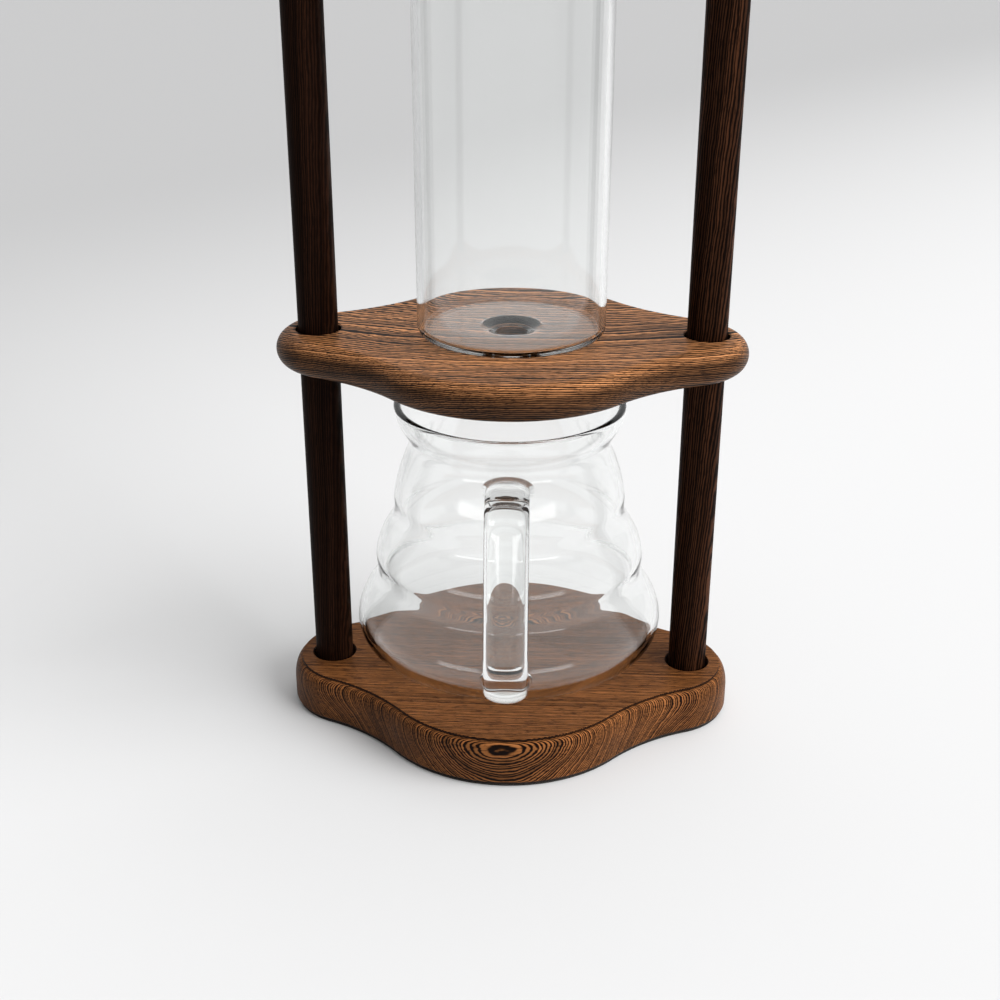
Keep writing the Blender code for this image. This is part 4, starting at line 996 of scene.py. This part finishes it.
ball_wood = timber("lid_knob_wood", (0, 0, BALL_TOP), (1, 0.2, 0), (0, -0.5, 0.86), 0.0010, 0.002,
                   POST_DARK, POST_LIGHT, gloss=0.40, breaks=2.2)
fit(turned("lid_ball", ball_profile, 72), ball_wood, "lid", "post_wood", "lid_knob")
lid_shank = LID_SCREW_TIP - LID_SEAT - SCREW_HEAD_HEIGHT
lid_screw = moved(screw("lid_wood_screw", lid_shank), Matrix.Translation((0, 0, LID_SEAT)) @ POINT_UP)
fit(lid_screw, screw_steel, "lid", "steel", "lid_screw")


# Stage: a wide floor of pale paper, matt and without an edge in the photo. A tall window to the right gives
# most of the light, as one wide soft light. The pale room is the world, which also shows in the glass.
FLOOR_HALF = 6.0
FLOOR_COLOUR = (0.762, 0.762, 0.765)
# Painted shade: the floor's colour darkens toward the far left, standing in for the falloff of the window's
# light.
FALLOFF_RUN = (0.75, -0.65, 0.0)
FLOOR_SHADED_COLOUR = (0.48, 0.48, 0.483)
FALLOFF_FAR = -0.90
FALLOFF_NEAR = 0.0
WINDOW_TOWARD = (2.40, -0.90, 1.24)
WINDOW_SPREAD = math.radians(58)
WINDOW_POWER = 4.15
WINDOW_IMAGE = 4.5
ROOM_TONE = 0.85

floor_corners = [(-FLOOR_HALF, -FLOOR_HALF, 0), (FLOOR_HALF, -FLOOR_HALF, 0), (FLOOR_HALF, FLOOR_HALF, 0),
                 (-FLOOR_HALF, FLOOR_HALF, 0)]
floor_mesh = bpy.data.meshes.new("floor")
floor_mesh.from_pydata(floor_corners, [], [(0, 1, 2, 3)])
floor = bpy.data.objects.new("floor", floor_mesh)
bpy.context.scene.collection.objects.link(floor)
floor_paper, floor_tree, floor_shader = material("floor_paper")
floor_place = add_node(floor_tree, "ShaderNodeTexCoord").outputs["Object"]
# Painted shade: the floor is blended toward its shaded colour along this run.
floor_falloff_run = add_node(floor_tree, "ShaderNodeVectorMath", {0: floor_place, 1: FALLOFF_RUN},
                     operation="DOT_PRODUCT").outputs["Value"]
floor_painted_falloff = blend(floor_tree, (*FLOOR_SHADED_COLOUR, 1), (*FLOOR_COLOUR, 1),
                   ranged(floor_tree, floor_falloff_run, FALLOFF_FAR, FALLOFF_NEAR))
floor_tree.links.new(floor_painted_falloff, floor_shader.inputs["Base Color"])
floor_shader.inputs["Roughness"].default_value = 0.75
floor_shader.inputs["Specular IOR Level"].default_value = 0.2
floor_mesh.materials.append(floor_paper)

window_light = bpy.data.lights.new("right_window", "SUN")
window_light.angle = WINDOW_SPREAD
window_light.energy = WINDOW_POWER
window_holder = bpy.data.objects.new("right_window", window_light)
window_holder.rotation_euler = Vector(WINDOW_TOWARD).to_track_quat("Z", "Y").to_euler()
window_holder.visible_glossy = False
window_holder.visible_transmission = False
bpy.context.scene.collection.objects.link(window_holder)

world = bpy.data.worlds.new("studio")
bpy.context.scene.world = world
world.use_nodes = True
sky = world.node_tree
toward = add_node(sky, "ShaderNodeSeparateXYZ",
                  {0: add_node(sky, "ShaderNodeTexCoord").outputs["Generated"]}).outputs
behind = ranged(sky, toward["Y"], -0.3, 0.6, 0.16, 0.55)
above = ranged(sky, toward["Z"], 0.15, 0.95, 0.0, 0.66)
beside = ranged(sky, toward["X"], -0.7, 0.7, 0.50, 1.35)
ambient = sum_of(sky, "MULTIPLY", sum_of(sky, "ADD", behind, above), beside)
slant = sum_of(sky, "DIVIDE", toward["X"], sum_of(sky, "MINIMUM", toward["Y"], -0.05))
slant = sum_of(sky, "ABSOLUTE", slant)
window = ranged(sky, slant, 0.28, 0.38)
for end in (ranged(sky, slant, 1.25, 1.0), ranged(sky, toward["Z"], 0.045, 0.075),
            ranged(sky, toward["Z"], 0.22, 0.15), ranged(sky, toward["Y"], 0.0, -0.2)):
    window = sum_of(sky, "MULTIPLY", window, end)
mirrored = sum_of(sky, "MULTIPLY_ADD", window, WINDOW_IMAGE,
                  ranged(sky, toward["Y"], -0.5, 0.4, 0.42, 0.60))
refracted = sum_of(sky, "MULTIPLY", ranged(sky, toward["X"], -0.95, -0.45, 0.75, 1.0),
                   ranged(sky, toward["Z"], 0.0, 0.4, 1.0, 0.65))
rays = add_node(sky, "ShaderNodeLightPath").outputs
strength = ambient
for ray, shown in (("Glossy", mirrored), ("Transmission", refracted), ("Camera", ROOM_TONE)):
    mix = add_node(sky, "ShaderNodeMix", {"Factor": rays[f"Is {ray} Ray"], 2: strength, 3: shown})
    strength = mix.outputs[0]
sky.links.new(strength, sky.nodes["Background"].inputs["Strength"])
sky.nodes["Background"].inputs["Color"].default_value = (1, 1, 1, 1)


# Camera: the photograph's own view, from in front and above the middle shelf, looking down. Its place, turn
# and lens were fitted to the outlines of the posts, the plates and the glass in the photo.
CAMERA_PLACE = (0.0210, -0.4847, 0.3050)
CAMERA_DOWN = math.radians(24.537)
CAMERA_ASIDE = math.radians(-2.939)
CAMERA_ROLL = math.radians(0.122)
LENS = 52.43

lens = bpy.data.cameras.new("photo_view")
lens.lens = LENS
lens.sensor_width = 36.0
lens.clip_start = 0.01
viewer = bpy.data.objects.new("photo_view", lens)
viewer.matrix_world = (Matrix.Translation(CAMERA_PLACE) @ Matrix.Rotation(-CAMERA_ASIDE, 4, "Z")
                       @ Matrix.Rotation(math.pi / 2 - CAMERA_DOWN, 4, "X")
                       @ Matrix.Rotation(CAMERA_ROLL, 4, "Z"))
bpy.context.scene.collection.objects.link(viewer)
bpy.context.scene.camera = viewer
bpy.context.scene.view_settings.view_transform = "Standard"
